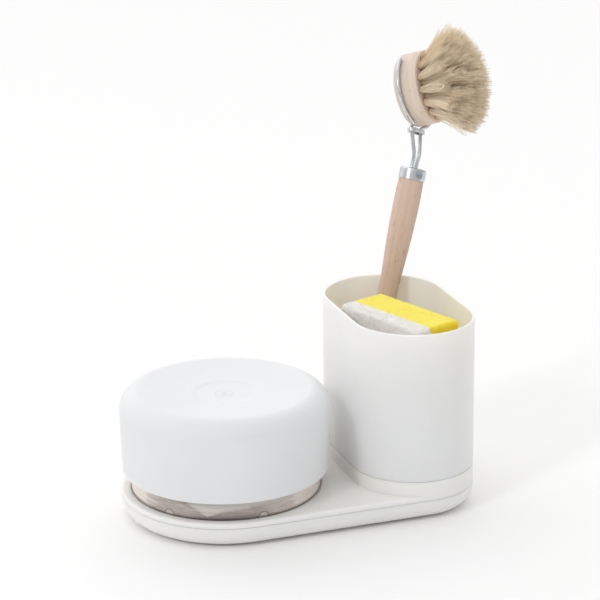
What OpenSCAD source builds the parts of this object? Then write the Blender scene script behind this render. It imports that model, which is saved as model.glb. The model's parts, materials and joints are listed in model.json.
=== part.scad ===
// Sink caddy: a press-top soap dispenser and a brush cup standing on one shared tray.
// Z is up, X runs from the dispenser to the cup, and the origin is on the resting
// plane under the dispenser's axis. All sizes are in millimetres, all angles in degrees.

/* [Tray] */
// Radius of the tray's round end under the dispenser
lobe_r = 56.5; // [52:0.5:66]
// Distance from the dispenser's axis to the middle of the cup
cup_pitch = 99; // [96:1:120]
// Height of the deck above the resting plane
deck_z = 15.2; // [14.2:0.2:22]
// Thickness of the deck plate
deck_thick = 2.7; // [2.2:0.1:4]
// Radius that rolls the deck's edge over
deck_edge_r = 1.5; // [0.6:0.1:2]
// Radius that turns the tray's side under
tray_fillet = 10.5; // [6:0.5:11]
// Wall and floor thickness of the lower shell
base_wall = 2.2; // [1.6:0.1:3]
// Height of the shadow line between the lower shell and the deck
shadow_gap = 0.2; // [0.1:0.05:0.6]
// Depth of the round seat that the jar stands in
well_depth = 1.6; // [0.8:0.1:2.4]
// Height of the collar that the cup stands on
collar_h = 8.4; // [6:0.2:16]
// Wall thickness of the collar
collar_wall = 2.4; // [1.8:0.1:3.2]
// Height and depth of the fine groove between the collar and the cup
collar_groove = 0.5; // [0.2:0.1:0.9]
// Depth of the drip pan inside the collar
pan_depth = 1.4; // [0.6:0.1:2.2]

/* [Foot pads] */
// Radius of one foot pad
pad_r = 7; // [5:0.5:9]
// Thickness of one foot pad
pad_thick = 1.6; // [1.2:0.1:2]
// How far a pad stands out below the tray
pad_proud = 0.6; // [0.3:0.1:0.9]

/* [Jar] */
// Outer radius of the clear jar
jar_r = 51; // [46:0.5:53]
// Height of the jar from its underside to its rim
jar_h = 36; // [34:0.5:40]
// Wall thickness of the jar
jar_wall = 2.2; // [1.6:0.1:3]
// How far the jar's wall leans in towards its rim
jar_draft = 3; // [2.4:0.1:4]
// Thickness of the jar's floor
jar_floor = 2.6; // [2.2:0.1:4]
// Radius round the jar's bottom edge
jar_edge_r = 3; // [1.5:0.5:4]
// Number of small feet under the jar
jar_foot_count = 6; // [3:1:8]
// Radius of one small foot
jar_foot_r = 3.2; // [2:0.1:4]

/* [Pump lid] */
// Thickness of the lid's rim and plate
lid_thick = 2; // [1.6:0.1:3]
// Height of the lid's plug inside the jar's mouth
plug_h = 8; // [6.5:0.5:10]
// Inner radius of the guide collar
guide_r = 16.1; // [14:0.1:18]
// Wall thickness of the guide collar
guide_wall = 1.9; // [1.4:0.1:2.5]
// Cord thickness of the lid's seal
seal_cord = 2.2; // [1.6:0.1:2.6]

/* [Pump] */
// Inner radius of the pump cylinder
cylinder_r = 10.8; // [9:0.1:11.5]
// Wall thickness of the pump cylinder
cylinder_wall = 1.6; // [1.2:0.1:2]
// Height of the inlet above the jar's floor
inlet_lift = 2.6; // [1.5:0.1:4]
// Radius of the inlet hole
inlet_r = 2; // [1.5:0.1:2.3]
// Radius of the check ball
ball_r = 2.8; // [2.6:0.1:3]
// How far the check ball can rise
ball_travel = 1.2; // [0.6:0.1:1.4]
// Height of the piston
piston_h = 5; // [4:0.5:6]
// Outer radius of the piston's hollow stem
stem_r = 4.2; // [3.8:0.1:4.8]
// Radius of the soap way through the stem
soap_way_r = 1.8; // [1.2:0.1:2.2]
// Cord thickness of the piston's seal
piston_seal_cord = 2; // [1.6:0.1:2.4]

/* [Return spring] */
// Wire thickness of the return spring
spring_wire = 1.4; // [1:0.1:1.5]
// Clearance between the guide collar and the spring
spring_gap = 1.2; // [0.8:0.1:2]
// Number of turns
spring_turns = 4; // [3:1:5]

/* [Press cap] */
// Radius of the cap at its widest
cap_r = 56.5; // [55.5:0.5:60]
// Radius of the cap at its lower edge
skirt_r = 55.4; // [54.5:0.1:58]
// Height of the cap's lower edge above the deck
skirt_lift = 10.6; // [8:0.1:14]
// Height of the cap
cap_h = 44.4; // [42:0.1:48]
// Radius of the cap's shoulder
shoulder_r = 10.5; // [8:0.5:12]
// Wall thickness of the cap
cap_wall = 2.2; // [1.6:0.1:2.6]
// How far the top dips towards its middle
dish_depth = 1.2; // [0.6:0.1:2]
// Radius of the shallow hollow round the nozzle
dimple_r = 18; // [14:0.5:22]
// Depth of that hollow
dimple_depth = 0.5; // [0.2:0.1:0.8]
// Radius of the nozzle's visible end
nozzle_r = 5; // [4:0.2:6]
// How far the cap travels when it is pressed
press_travel = 6; // [4:0.5:6]
// Number of ribs under the cap
rib_count = 12; // [6:1:16]
// Thickness of one rib
rib_thick = 1.4; // [1:0.1:2]

/* [Cup] */
// Width of the cup across its flat sides
cup_w = 67; // [64:0.5:72]
// Room along the cup for the brush, beyond the sponge's width
brush_room = 46.3; // [44:0.5:54]
// Height of the cup's rim above the collar
cup_h = 82.3; // [60:1:110]
// Wall thickness of the cup
cup_wall = 1.6; // [1.2:0.1:2]
// Thickness of the cup's floor
cup_floor = 2.4; // [1.8:0.1:3.2]
// Depth of the cup's foot inside the collar
spigot_h = 6.8; // [4:0.2:7.2]
// Number of drain slots in the cup's floor
slot_count = 7; // [3:2:9]
// Width of one drain slot
slot_w = 3; // [2:0.5:4]

/* [Brush handle] */
// Length of the wooden handle
handle_l = 143; // [136:0.5:150]
// Largest radius of the handle
handle_r = 7.3; // [6.5:0.1:7.6]
// Height of the ferrule
ferrule_h = 7; // [5:0.5:9]
// Wall thickness of the ferrule
ferrule_wall = 0.5; // [0.4:0.1:0.7]
// Lean of the brush from upright
brush_tilt = 21.7; // [21:0.1:22]
// Plan direction of that lean, from X towards Y
brush_plan = 35.8; // [35:0.1:36.5]
// Turn of the brush about its own axis
brush_roll = -86.6; // [-90:0.5:-80]

/* [Brush wire] */
// Thickness of the wire
wire_d = 2.2; // [1.8:0.1:2.4]
// Half the distance between the two wires at the ferrule
wire_half_foot = 2.5; // [2:0.1:3]
// Half the distance between the two wires at the ring
wire_half_ring = 5.4; // [4.6:0.1:5.4]
// Radius of the wire's bend round the head
wire_wrap_r = 21.95; // [21.9:0.05:22.2]
// Angle from the bottom of the head at which each wire ends
wire_end_angle = 133; // [100:1:150]
// Height of the sliding ring
ring_h = 2.2; // [1.6:0.1:2.6]
// Wall thickness of the sliding ring
ring_wall = 1; // [0.6:0.1:1.2]
// How far the ring slides towards the handle
ring_travel = 9; // [4:0.5:9]

/* [Brush head] */
// Radius of the wooden head
head_r = 20.7; // [20.2:0.1:20.7]
// Thickness of the wooden head
head_thick = 14.8; // [13:0.1:17]
// Lean of the bristles from the handle's axis
head_angle = 70.4; // [66:0.2:75]
// Number of rings of strands
strand_rings = 11; // [10:1:12]
// Length of the middle strands
strand_l = 33; // [26:1:36]
// Radius of the brush at the strands' tips
tip_spread_r = 32; // [26:1:34]

/* [Sponge] */
// Width of the sponge
sponge_w = 63; // [56:1:64]
// Height of the sponge as it stands
sponge_h = 82; // [56:1:96]
// Thickness of the foam
foam_thick = 21.5; // [16:0.5:22]
// Thickness of the scouring layer
scourer_thick = 8.5; // [5:0.5:9]
// Room left across the cup beside the sponge, which sets how far it turns
sponge_room = 13.2; // [11:0.2:17]
// Least gap between the sponge and the cup's wall
sponge_gap = 2; // [1:0.1:3]
// How far the sponge stands from the cup's middle towards its near end
sponge_near = 14.5; // [13:0.5:16]
// Corner radius of the sponge
sponge_corner_r = 2.5; // [1:0.5:4]

/* [Hidden] */
$fn = 96;

// How far a cut runs past what it cuts
over = 1;
// Gap between pieces that slide or lift past each other
slide_gap = 0.3;
// Radial gap of the running fits in the pump
run_gap = 0.06;
// Gap between pieces of one assembly that are pushed together
push_gap = 0.05;
// Angle between the points of a curve that is drawn by formula
arc_step = 7.5;

// Tray
cup_l = sponge_w + brush_room;
end_r = cup_w / 2;
end_off = (cup_l - cup_w) / 2;
end_reach = norm([cup_pitch, end_off]);
edge_margin = 0.15;
tray_end_r = end_r + edge_margin;
side_angle = atan2(end_off, cup_pitch) + acos((lobe_r - tray_end_r) / end_reach);
lobe_steps = 54;
corner_steps = 18;
deck_under = deck_z - deck_thick;
base_top = deck_under - shadow_gap;
base_bottom = pad_proud;
seat_r = jar_r + 2 * slide_gap;
seat_z = deck_z - well_depth;
seat_floor = 1.8;
plug_under = seat_z - seat_floor;
pan_z = deck_z - pan_depth;
collar_top = deck_z + collar_h;
boss_r = 4.5;
boss_pin_r = 2.4;
boss_pin_l = 4;
pad_ring_r = 0.67 * lobe_r;
pad_end_x = cup_pitch + end_r / 7;
pad_end_y = end_off + end_r / 4;
pad_places = [[0, 0], [-pad_ring_r, 0], [0, pad_ring_r], [0, -pad_ring_r],
  [pad_end_x, pad_end_y], [pad_end_x, -pad_end_y]];
boss_side_y = lobe_r / 2;
boss_end_x = cup_pitch + end_r / 2;
boss_places = [[-boss_side_y, boss_side_y], [-boss_side_y, -boss_side_y],
  [cup_pitch / 2, boss_side_y], [cup_pitch / 2, -boss_side_y], [boss_end_x, 0]];

// Jar
jar_foot_proud = 0.6;
jar_foot_in = 1.4;
jar_foot_turn = 32.5;
jar_foot_ring = jar_r - jar_edge_r - jar_foot_r;
jar_bump_h = 1.3;
jar_z = seat_z + jar_foot_proud;
jar_top = jar_z + jar_h;
jar_rim_r = jar_r - jar_draft;
jar_inner_r = jar_rim_r - jar_wall;
jar_floor_z = jar_z + jar_floor;
mouth_step = 1.2;
mouth_r = jar_inner_r - mouth_step;
mouth_h = 9;

// Pump lid
plug_gap = 0.4;
plug_r = mouth_r - plug_gap;
plug_wall = 2.2;
plug_low = jar_top - plug_h;
plate_drop = 4;
plate_top = jar_top - plate_drop;
plate_low = plate_top - lid_thick;
ledge_drop = 4;
ledge_low = plate_low - ledge_drop;
ledge_top = ledge_low + lid_thick;
seal_lift = 2.4;
seal_z = plug_low + seal_lift;
seal_r = mouth_r - slide_gap - seal_cord / 2;

// Pump
cylinder_out_r = cylinder_r + cylinder_wall;
cylinder_low = jar_floor_z + inlet_lift;
cylinder_floor = 2;
flange_r = guide_r - slide_gap;
flange_h = 2;
ball_seat_z = cylinder_low + cylinder_floor;
ball_rest_gap = 0.2;
ball_z = ball_seat_z + sqrt(ball_r * ball_r - inlet_r * inlet_r) + ball_rest_gap;
cage_r = ball_r + slide_gap;
cage_wall = 1.4;
cage_bar = 1;
cage_hole_r = 1.5;
cage_window = 2.6;
cage_stop_z = ball_z + ball_r + ball_travel + ball_rest_gap;
cage_top = cage_stop_z + cage_bar;
piston_gap = 0.4;
piston_r = cylinder_r - piston_gap;
stop_gap = 0.6;
piston_low = cage_top + press_travel + stop_gap;
piston_seal_r = cylinder_r - run_gap - piston_seal_cord / 2;

// Press cap and what it carries
skirt_z = deck_z + skirt_lift;
cap_top = skirt_z + cap_h;
shoulder_z = cap_top - shoulder_r;
dish_r = cap_r - shoulder_r;
dish_steps = 20;
dimple_soft = 5;
cap_mid_z = cap_top - dish_depth - dimple_depth;
cap_under = cap_mid_z - cap_wall;
carrier_z = cap_under - push_gap;
carrier_thick = 2;
carrier_low = carrier_z - carrier_thick;
carrier_inner_r = jar_r + 2 * slide_gap;
carrier_side_gap = 1.5;
carrier_rim_r = cap_r - cap_wall - carrier_side_gap;
carrier_rim_h = 6;
carrier_bevel = 2.2;
guide_spare = 0.8;
guide_top = carrier_low - press_travel - guide_spare;
sleeve_r = guide_r - run_gap;
sleeve_wall = 1.8;
sleeve_spare = 0.5;
sleeve_low = ledge_top + flange_h + press_travel + sleeve_spare;
hub_r = 9;
hub_h = 10;
hub_low = carrier_low - hub_h;
stem_top = hub_low + hub_h / 2;
rib_h = 3.6;
nozzle_flange_r = 7;
nozzle_proud = 0.3;
nozzle_edge_r = 0.5;
nozzle_hole_r = 1.1;
nozzle_top = cap_mid_z + nozzle_proud;

// Return spring
spring_mean_r = guide_r + guide_wall + spring_gap + spring_wire / 2;
spring_low = plate_top + spring_wire / 2;
spring_high = carrier_low - spring_wire / 2;
spring_sides = 8;
spring_steps = 24;

// Cup
rim_z = collar_top + cup_h;
cup_low = collar_top - spigot_h;
floor_rise = 0.6;
cup_floor_z = collar_top + floor_rise;
spigot_inset = collar_wall + slide_gap;
spigot_lead = 1;
slot_pitch = 2.6 * slot_w;
slot_l = 0.45 * cup_w;

// Brush, in its own frame: Z along the handle and X towards the bristles
brush_rim_inset = 8.4;
brush_rim_angle = 60.3;
brush_lift = 0.7;
brush_lean = (rim_z - cup_floor_z - brush_lift) * tan(brush_tilt);
brush_foot = [
  cup_pitch + (end_r - brush_rim_inset) * cos(brush_rim_angle) - brush_lean * cos(brush_plan),
  end_off + (end_r - brush_rim_inset) * sin(brush_rim_angle) - brush_lean * sin(brush_plan),
  cup_floor_z + brush_lift];
// Handle outline above its round end: share of the length, then share of the largest radius
handle_shares = [[0.1, 0.815], [0.2, 0.83], [0.32, 0.815], [0.45, 0.775], [0.56, 0.76],
  [0.63, 0.79], [0.72, 0.895], [0.81, 0.965], [0.87, 0.99], [0.92, 1], [0.96, 0.99], [1, 0.96]];
handle_end_share = 0.78;
ferrule_proud = 0.1;
ferrule_r = handle_r + ferrule_proud;
ferrule_edge_r = 1.4;
tenon_h = 0.8 * ferrule_h;
tenon_r = ferrule_r - ferrule_wall - push_gap;
wire_gap = 0.1;
wire_straight = 1.6;
wire_top_z = handle_l + ferrule_h + wire_straight;
wire_depth = 14;
wire_bend_z = handle_l - wire_depth;
wire_bore_low = wire_bend_z - wire_half_foot - wire_d / 2 - wire_gap;
wire_sides = 8;
wire_start_angle = 24;
wire_seat = 4.4;
bend_pull = 1.6;
foot_pull = 4;
ring_back = 3.3;
ring_rise = 27.5;
ring_place = [-ring_back, 0, handle_l + ring_rise];
ring_lean = 15;
ring_close = 0.17;
ring_gap = 0.35;
ring_spare = 2;
ring_straight = ring_travel + ring_spare;
ring_above = 1.2;
ring_slot_r = wire_d / 2 + ring_gap;
head_offset = 13;
head_rise = 48.9;
head_back = [-head_offset, 0, handle_l + head_rise];
head_dome = 1.6;
head_back_r = 2.6;
head_face_r = 1.2;
backing_h = 1.6;
backing_edge = 1.7;
backing_r = head_r - backing_edge;
groove_gap = 0.4;
groove_r = wire_d / 2 + groove_gap;
tip_round = 4;
tip_dome_r = tip_spread_r + tip_round;
strand_share = 0.4;
strand_waver_share = 0.03;

// Sponge
sponge_lift = slide_gap;
sponge_thick = foam_thick + scourer_thick;
sponge_reach = min((cup_w - 2 * cup_wall - sponge_room) / norm([sponge_w, sponge_thick]), 1);
sponge_turn = asin(sponge_reach) - atan2(sponge_thick, sponge_w);
sponge_mid = [cup_pitch + sponge_gap - sponge_room / 2, -sponge_near];

// Shared shapes

// Stadium with round ends along Y, drawn inside the cup's outline by the inset
module stadium(inset) {
  r = end_r - inset;
  translate([0, end_off]) circle(r);
  translate([0, -end_off]) circle(r);
  square([2 * r, 2 * end_off], center = true);
}

// Corners of the whole tray's outline, drawn in by the inset
function tray_ring(inset) = let (lobe = lobe_r - inset, corner = tray_end_r - inset) concat(
  [for (i = [0:lobe_steps]) let (a = side_angle + (360 - 2 * side_angle) * i / lobe_steps)
    [lobe * cos(a), lobe * sin(a)]],
  [for (i = [-corner_steps:0]) let (a = side_angle * i / corner_steps)
    [cup_pitch + corner * cos(a), corner * sin(a) - end_off]],
  [for (i = [0:corner_steps]) let (a = side_angle * i / corner_steps)
    [cup_pitch + corner * cos(a), corner * sin(a) + end_off]]);

// Closed body through tray outlines, each given by its inset and height
module tray_loft(rings) {
  n = len(tray_ring(0));
  points = [for (g = rings) for (p = tray_ring(g[0])) [p.x, p.y, g[1]]];
  last = (len(rings) - 1) * n;
  sides = [for (i = [0:len(rings) - 2], k = [0:n - 1])
    let (p = i * n + k, q = i * n + (k + 1) % n) each [[p, p + n, q + n], [p, q + n, q]]];
  polyhedron(points, concat([[for (k = [0:n - 1]) k], [for (k = [n - 1:-1:0]) last + k]], sides));
}

// Edge section with a radius at its bottom
module turned_edge(r, low, high) {
  w = 2 * lobe_r;
  difference() {
    translate([-w, low]) square([w, high - low]);
    translate([-r, low]) difference() {
      translate([0, -over]) square([r + over, r + over]);
      translate([0, r]) circle(r);
    }
  }
}

// Edge section with a radius at its top
module rolled_edge(r, low, high) {
  w = 2 * lobe_r;
  difference() {
    translate([-w, low]) square([w, high - low]);
    translate([-r, high - r]) difference() {
      square([r + over, r + over]);
      circle(r);
    }
  }
}

// Round tube standing on a height
module tube(r_out, r_in, low, high) {
  translate([0, 0, low]) difference() {
    cylinder(r = r_out, h = high - low);
    translate([0, 0, -over]) cylinder(r = r_in, h = high - low + 2 * over);
  }
}

// Ring of round section
module cord_ring(mean_r, d) {
  rotate_extrude() translate([mean_r, 0]) circle(d = d);
}

function unit(v) = v / norm(v);

// Point on a cubic curve between a and d, pulled towards b and c
function curve_at(a, b, c, d, t) =
  (1 - t) * (1 - t) * (1 - t) * a + 3 * (1 - t) * (1 - t) * t * b + 3 * (1 - t) * t * t * c + t * t * t * d;

// Closed tube along a path: rings of points whose first direction stays turned the same way
function tube_frames(path, side) = [for (i = 0, n = side; i < len(path);
  n = unit(n - (n * way_at(path, i)) * way_at(path, i)), i = i + 1) n];
function way_at(path, i) = unit(path[min(i + 1, len(path) - 1)] - path[max(i - 1, 0)]);
module sweep_tube(path, r, sides, side) {
  frames = tube_frames(path, side);
  points = [for (i = [0:len(path) - 1], k = [0:sides - 1])
    let (w = way_at(path, i), n = unit(frames[i] - (frames[i] * w) * w), b = cross(w, n), a = 360 * k / sides)
    path[i] + r * (cos(a) * n + sin(a) * b)];
  last = (len(path) - 1) * sides;
  walls = [for (i = [0:len(path) - 2], k = [0:sides - 1])
    let (p = i * sides + k, q = i * sides + (k + 1) % sides)
    each [[p, p + sides, q], [q, p + sides, q + sides]]];
  ends = [for (k = [1:sides - 2]) each [[0, k, k + 1], [last, last + k + 1, last + k]]];
  polyhedron(points, concat(walls, ends));
}

// Tray

module tray_base() {
  turn_z = base_bottom + tray_fillet;
  inner_r = tray_fillet - base_wall;
  outside = [for (a = [0:arc_step * 2:90]) [tray_fillet * (1 - sin(a)), turn_z - tray_fillet * cos(a)]];
  inside = [for (a = [90:-arc_step * 2:0]) [tray_fillet - inner_r * sin(a), turn_z - inner_r * cos(a)]];
  color("whitesmoke") difference() {
    union() {
      tray_loft(concat(outside, [[0, base_top], [base_wall, base_top]], inside));
      for (place = boss_places) translate([place.x, place.y, base_bottom + base_wall / 2])
        cylinder(r = boss_r, h = plug_under - base_bottom - base_wall / 2);
    }
    for (place = boss_places) translate([place.x, place.y, plug_under - boss_pin_l - slide_gap])
      cylinder(r = boss_pin_r + push_gap, h = boss_pin_l + over);
    for (place = pad_places) translate([place.x, place.y, -over])
      cylinder(r = pad_r + push_gap, h = pad_thick + over);
  }
}

module tray_deck() {
  roll = [for (a = [0:arc_step * 2:90]) [deck_edge_r * (1 - cos(a)), deck_z - deck_edge_r * (1 - sin(a))]];
  plug_inset = base_wall + slide_gap;
  color("white") difference() {
    union() {
      tray_loft(concat([[plug_inset, plug_under], [plug_inset, deck_under], [0, deck_under]], roll));
      translate([cup_pitch, 0, deck_under + deck_thick / 2])
        linear_extrude(collar_top - deck_under - deck_thick / 2 - collar_groove) stadium(0);
      translate([cup_pitch, 0, deck_z - over]) linear_extrude(collar_top - deck_z + over)
        stadium(collar_groove);
      for (place = boss_places) translate([place.x, place.y, plug_under - boss_pin_l])
        cylinder(r = boss_pin_r, h = boss_pin_l + over);
    }
    translate([0, 0, seat_z]) cylinder(r = seat_r, h = deck_z);
    translate([cup_pitch, 0, pan_z]) linear_extrude(collar_top) stadium(collar_wall);
  }
}

module foot_pads() {
  color("gainsboro") for (place = pad_places) translate(place) cylinder(r = pad_r, h = pad_thick);
}

// Jar

module jar_foot_spots() {
  for (i = [0:jar_foot_count - 1])
    rotate(jar_foot_turn + i * 360 / jar_foot_count) translate([jar_foot_ring, 0, 0]) children();
}

module jar() {
  neck = jar_inner_r - mouth_r;
  color("silver", 0.4) difference() {
    rotate_extrude() intersection() {
      translate([jar_r, 0]) turned_edge(jar_edge_r, jar_z, jar_top);
      polygon([[0, 0], [jar_r, 0], [jar_r, jar_z + jar_edge_r], [jar_rim_r, jar_top], [0, jar_top]]);
    }
    difference() {
      translate([0, 0, jar_floor_z])
        cylinder(r1 = jar_r - jar_wall, r2 = jar_inner_r, h = jar_h - jar_floor - mouth_h - neck);
      jar_foot_spots() translate([0, 0, jar_z]) cylinder(r = jar_foot_r, h = jar_floor + jar_bump_h);
    }
    translate([0, 0, jar_top - mouth_h - neck]) cylinder(r1 = jar_inner_r, r2 = mouth_r, h = neck);
    translate([0, 0, jar_top - mouth_h]) cylinder(r = mouth_r, h = mouth_h + over);
    jar_foot_spots() translate([0, 0, jar_z - over])
      cylinder(r = jar_foot_r + push_gap, h = over + jar_foot_in);
  }
}

module jar_feet() {
  color("lightgray") jar_foot_spots() translate([0, 0, seat_z])
    cylinder(r = jar_foot_r, h = jar_foot_proud + jar_foot_in);
}

// Pump lid

module pump_lid() {
  color("whitesmoke") difference() {
    union() {
      tube(jar_rim_r, plug_r - plug_wall, jar_top, jar_top + lid_thick);
      tube(plug_r, plug_r - plug_wall, plug_low, jar_top + lid_thick);
      tube(plug_r - plug_wall + over, guide_r, plate_low, plate_top);
      tube(guide_r + guide_wall, guide_r, ledge_low, guide_top);
      tube(guide_r + over, cylinder_out_r + push_gap, ledge_low, ledge_top);
    }
    translate([0, 0, seal_z]) rotate_extrude() translate([seal_r, 0])
      square([2 * seal_cord, seal_cord + 2 * push_gap], center = true);
  }
}

module lid_seal() {
  color("gainsboro") translate([0, 0, seal_z]) cord_ring(seal_r, seal_cord);
}

// Pump

module pump_cylinder() {
  color("aliceblue") difference() {
    union() {
      translate([0, 0, cylinder_low]) cylinder(r = cylinder_out_r, h = ledge_top - cylinder_low);
      translate([0, 0, ledge_top]) cylinder(r = flange_r, h = flange_h);
    }
    translate([0, 0, ball_seat_z]) cylinder(r = cylinder_r, h = ledge_top - ball_seat_z + flange_h + over);
    translate([0, 0, cylinder_low - over]) cylinder(r = inlet_r, h = cylinder_floor + 2 * over);
  }
}

module valve_cage() {
  color("gainsboro") difference() {
    translate([0, 0, ball_seat_z]) cylinder(r = cage_r + cage_wall, h = cage_top - ball_seat_z);
    translate([0, 0, ball_seat_z - over]) cylinder(r = cage_r, h = cage_stop_z - ball_seat_z + over);
    translate([0, 0, cage_stop_z - over]) cylinder(r = cage_hole_r, h = cage_bar + 2 * over);
    for (i = [0:2]) rotate(i * 120) translate([0, -cage_window / 2, ball_seat_z - over])
      cube([cage_r + 2 * cage_wall, cage_window, cage_stop_z - ball_seat_z + over - cage_bar]);
  }
}

module check_ball() {
  color("lightsteelblue") translate([0, 0, ball_z]) sphere(ball_r);
}

module piston() {
  color("whitesmoke") difference() {
    union() {
      translate([0, 0, piston_low]) cylinder(r = piston_r, h = piston_h);
      translate([0, 0, piston_low]) cylinder(r = stem_r, h = stem_top - piston_low);
    }
    translate([0, 0, piston_low + piston_h / 2]) rotate_extrude() translate([piston_seal_r, 0])
      square([2 * piston_seal_cord, piston_seal_cord + 2 * push_gap], center = true);
    translate([0, 0, piston_low - over]) cylinder(r = soap_way_r, h = stem_top - piston_low + 2 * over);
  }
}

module piston_seal() {
  color("dimgray") translate([0, 0, piston_low + piston_h / 2]) cord_ring(piston_seal_r, piston_seal_cord);
}

module return_spring() {
  rise = spring_high - spring_low;
  count = spring_turns * spring_steps;
  path = [for (i = [0:count]) let (a = 360 * i / spring_steps)
    [spring_mean_r * cos(a), spring_mean_r * sin(a), spring_low + rise * i / count]];
  color("silver") sweep_tube(path, spring_wire / 2, spring_sides, [1, 0, 0]);
}

// Press cap

// Height of the cap's outer top surface at a radius
function dish_z(r) = cap_top - dish_depth * (1 - pow(min(r / dish_r, 1), 2))
  - dimple_depth * (1 - cos(180 * min(max((dimple_r + dimple_soft - r) / dimple_soft, 0), 1))) / 2;

module press_cap() {
  hole = nozzle_r + push_gap;
  inner_shoulder = shoulder_r - cap_wall;
  outer = concat([[skirt_r - cap_wall / 2, skirt_z], [skirt_r, skirt_z + cap_wall / 4]],
    [for (a = [0:arc_step:90]) [dish_r + shoulder_r * cos(a), shoulder_z + shoulder_r * sin(a)]],
    [for (i = [1:dish_steps]) let (r = dish_r + (hole - dish_r) * i / dish_steps) [r, dish_z(r)]]);
  inner = concat([for (i = [0:dish_steps - 1])
      let (r = hole + (dish_r - hole) * i / dish_steps) [r, min(dish_z(r), cap_top) - cap_wall]],
    [for (a = [90:-arc_step:0]) [dish_r + inner_shoulder * cos(a), shoulder_z + inner_shoulder * sin(a)]],
    [[skirt_r - cap_wall, skirt_z + cap_wall / 4]]);
  color("white") rotate_extrude() polygon(concat(outer, inner));
}

module cap_carrier() {
  inner_rim = carrier_rim_r - sleeve_wall / 2;
  color("whitesmoke") difference() {
    union() {
      rotate_extrude() polygon([[0, carrier_low], [carrier_inner_r, carrier_low],
        [carrier_inner_r, carrier_low - carrier_rim_h], [carrier_rim_r, carrier_low - carrier_rim_h],
        [carrier_rim_r, carrier_z - carrier_bevel], [carrier_rim_r - carrier_bevel, carrier_z],
        [0, carrier_z]]);
      translate([0, 0, hub_low]) cylinder(r = hub_r, h = hub_h + carrier_thick / 2);
      tube(sleeve_r, sleeve_r - sleeve_wall, sleeve_low, carrier_low + over);
      for (i = [0:rib_count - 1]) rotate(i * 360 / rib_count)
        translate([spring_mean_r + 2 * spring_wire, -rib_thick / 2, carrier_low - rib_h])
          cube([carrier_inner_r - spring_mean_r - 2 * spring_wire + over, rib_thick, rib_h + over]);
    }
    translate([0, 0, stem_top]) cylinder(r = nozzle_flange_r + push_gap, h = carrier_z);
    translate([0, 0, hub_low - over]) cylinder(r = stem_r + push_gap, h = hub_h);
  }
}

module nozzle() {
  color("white") difference() {
    union() {
      translate([0, 0, stem_top]) cylinder(r = nozzle_flange_r, h = carrier_z - stem_top);
      translate([0, 0, stem_top]) cylinder(r = nozzle_r, h = nozzle_top - nozzle_edge_r - stem_top);
      translate([0, 0, stem_top]) cylinder(r = nozzle_r - nozzle_edge_r, h = nozzle_top - stem_top);
      translate([0, 0, nozzle_top - nozzle_edge_r]) cord_ring(nozzle_r - nozzle_edge_r, 2 * nozzle_edge_r);
    }
    translate([0, 0, stem_top - over]) cylinder(r = nozzle_hole_r, h = nozzle_top - stem_top + 2 * over);
  }
}

// Cup

module cup_lip() {
  mid_r = end_r - cup_wall / 2;
  translate([cup_pitch, 0, rim_z - cup_wall / 2]) for (side = [0, 1]) mirror([0, side, 0]) {
    translate([0, end_off, 0]) rotate_extrude(angle = 180) translate([mid_r, 0]) circle(d = cup_wall);
    for (x = [-mid_r, mid_r]) translate([x, end_off, 0]) rotate([90, 0, 0])
      cylinder(d = cup_wall, h = end_off);
  }
}

module cup() {
  color("ghostwhite") {
    difference() {
      union() {
        translate([cup_pitch, 0, collar_top]) linear_extrude(cup_h - cup_wall / 2) stadium(0);
        translate([cup_pitch, 0, cup_low + spigot_lead])
          linear_extrude(spigot_h - spigot_lead + floor_rise) stadium(spigot_inset);
        translate([cup_pitch, 0, cup_low]) linear_extrude(spigot_h) stadium(spigot_inset + spigot_lead);
      }
      translate([cup_pitch, 0, cup_floor_z]) linear_extrude(cup_h) stadium(cup_wall);
      translate([cup_pitch, 0, cup_low - over]) linear_extrude(cup_floor_z - cup_floor - cup_low + over)
        stadium(spigot_inset + spigot_lead + cup_wall);
      for (i = [0:slot_count - 1])
        translate([cup_pitch, (i - (slot_count - 1) / 2) * slot_pitch, cup_floor_z - cup_floor - over])
          linear_extrude(cup_floor + 2 * over) {
            square([slot_l, slot_w], center = true);
            for (x = [-slot_l / 2, slot_l / 2]) translate([x, 0]) circle(d = slot_w);
          }
    }
    cup_lip();
  }
}

// Brush

module brush_place() {
  translate(brush_foot) rotate([0, 0, brush_plan]) rotate([0, brush_tilt, 0]) rotate([0, 0, brush_roll])
    children();
}

module brush_handle() {
  end = handle_end_share * handle_r;
  outline = concat([for (a = [0:arc_step * 2:90]) end * [sin(a), 1 - cos(a)]],
    [for (s = handle_shares) [s[1] * handle_r, s[0] * handle_l]],
    [[tenon_r, handle_l], [tenon_r, handle_l + tenon_h], [0, handle_l + tenon_h]]);
  bore = wire_half_foot + wire_d / 2 + wire_gap;
  color("burlywood") brush_place() difference() {
    rotate_extrude() polygon(outline);
    translate([0, 0, wire_bore_low]) intersection() {
      cylinder(r = bore, h = handle_l + tenon_h - wire_bore_low + over);
      translate([-wire_d / 2 - wire_gap, -bore - over, -over])
        cube([wire_d + 2 * wire_gap, 2 * bore + 2 * over, handle_l + tenon_h - wire_bore_low + 3 * over]);
    }
  }
}

module handle_ferrule() {
  color("silver") brush_place() translate([0, 0, handle_l]) difference() {
    rotate_extrude() intersection() {
      translate([ferrule_r, 0]) rolled_edge(ferrule_edge_r, 0, ferrule_h);
      square([ferrule_r, ferrule_h]);
    }
    translate([0, 0, -over]) cylinder(r = ferrule_r - ferrule_wall, h = tenon_h + push_gap + over);
    for (y = [-wire_half_foot, wire_half_foot]) translate([0, y, 0])
      cylinder(r = wire_d / 2 + wire_gap, h = ferrule_h + over);
  }
}

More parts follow.
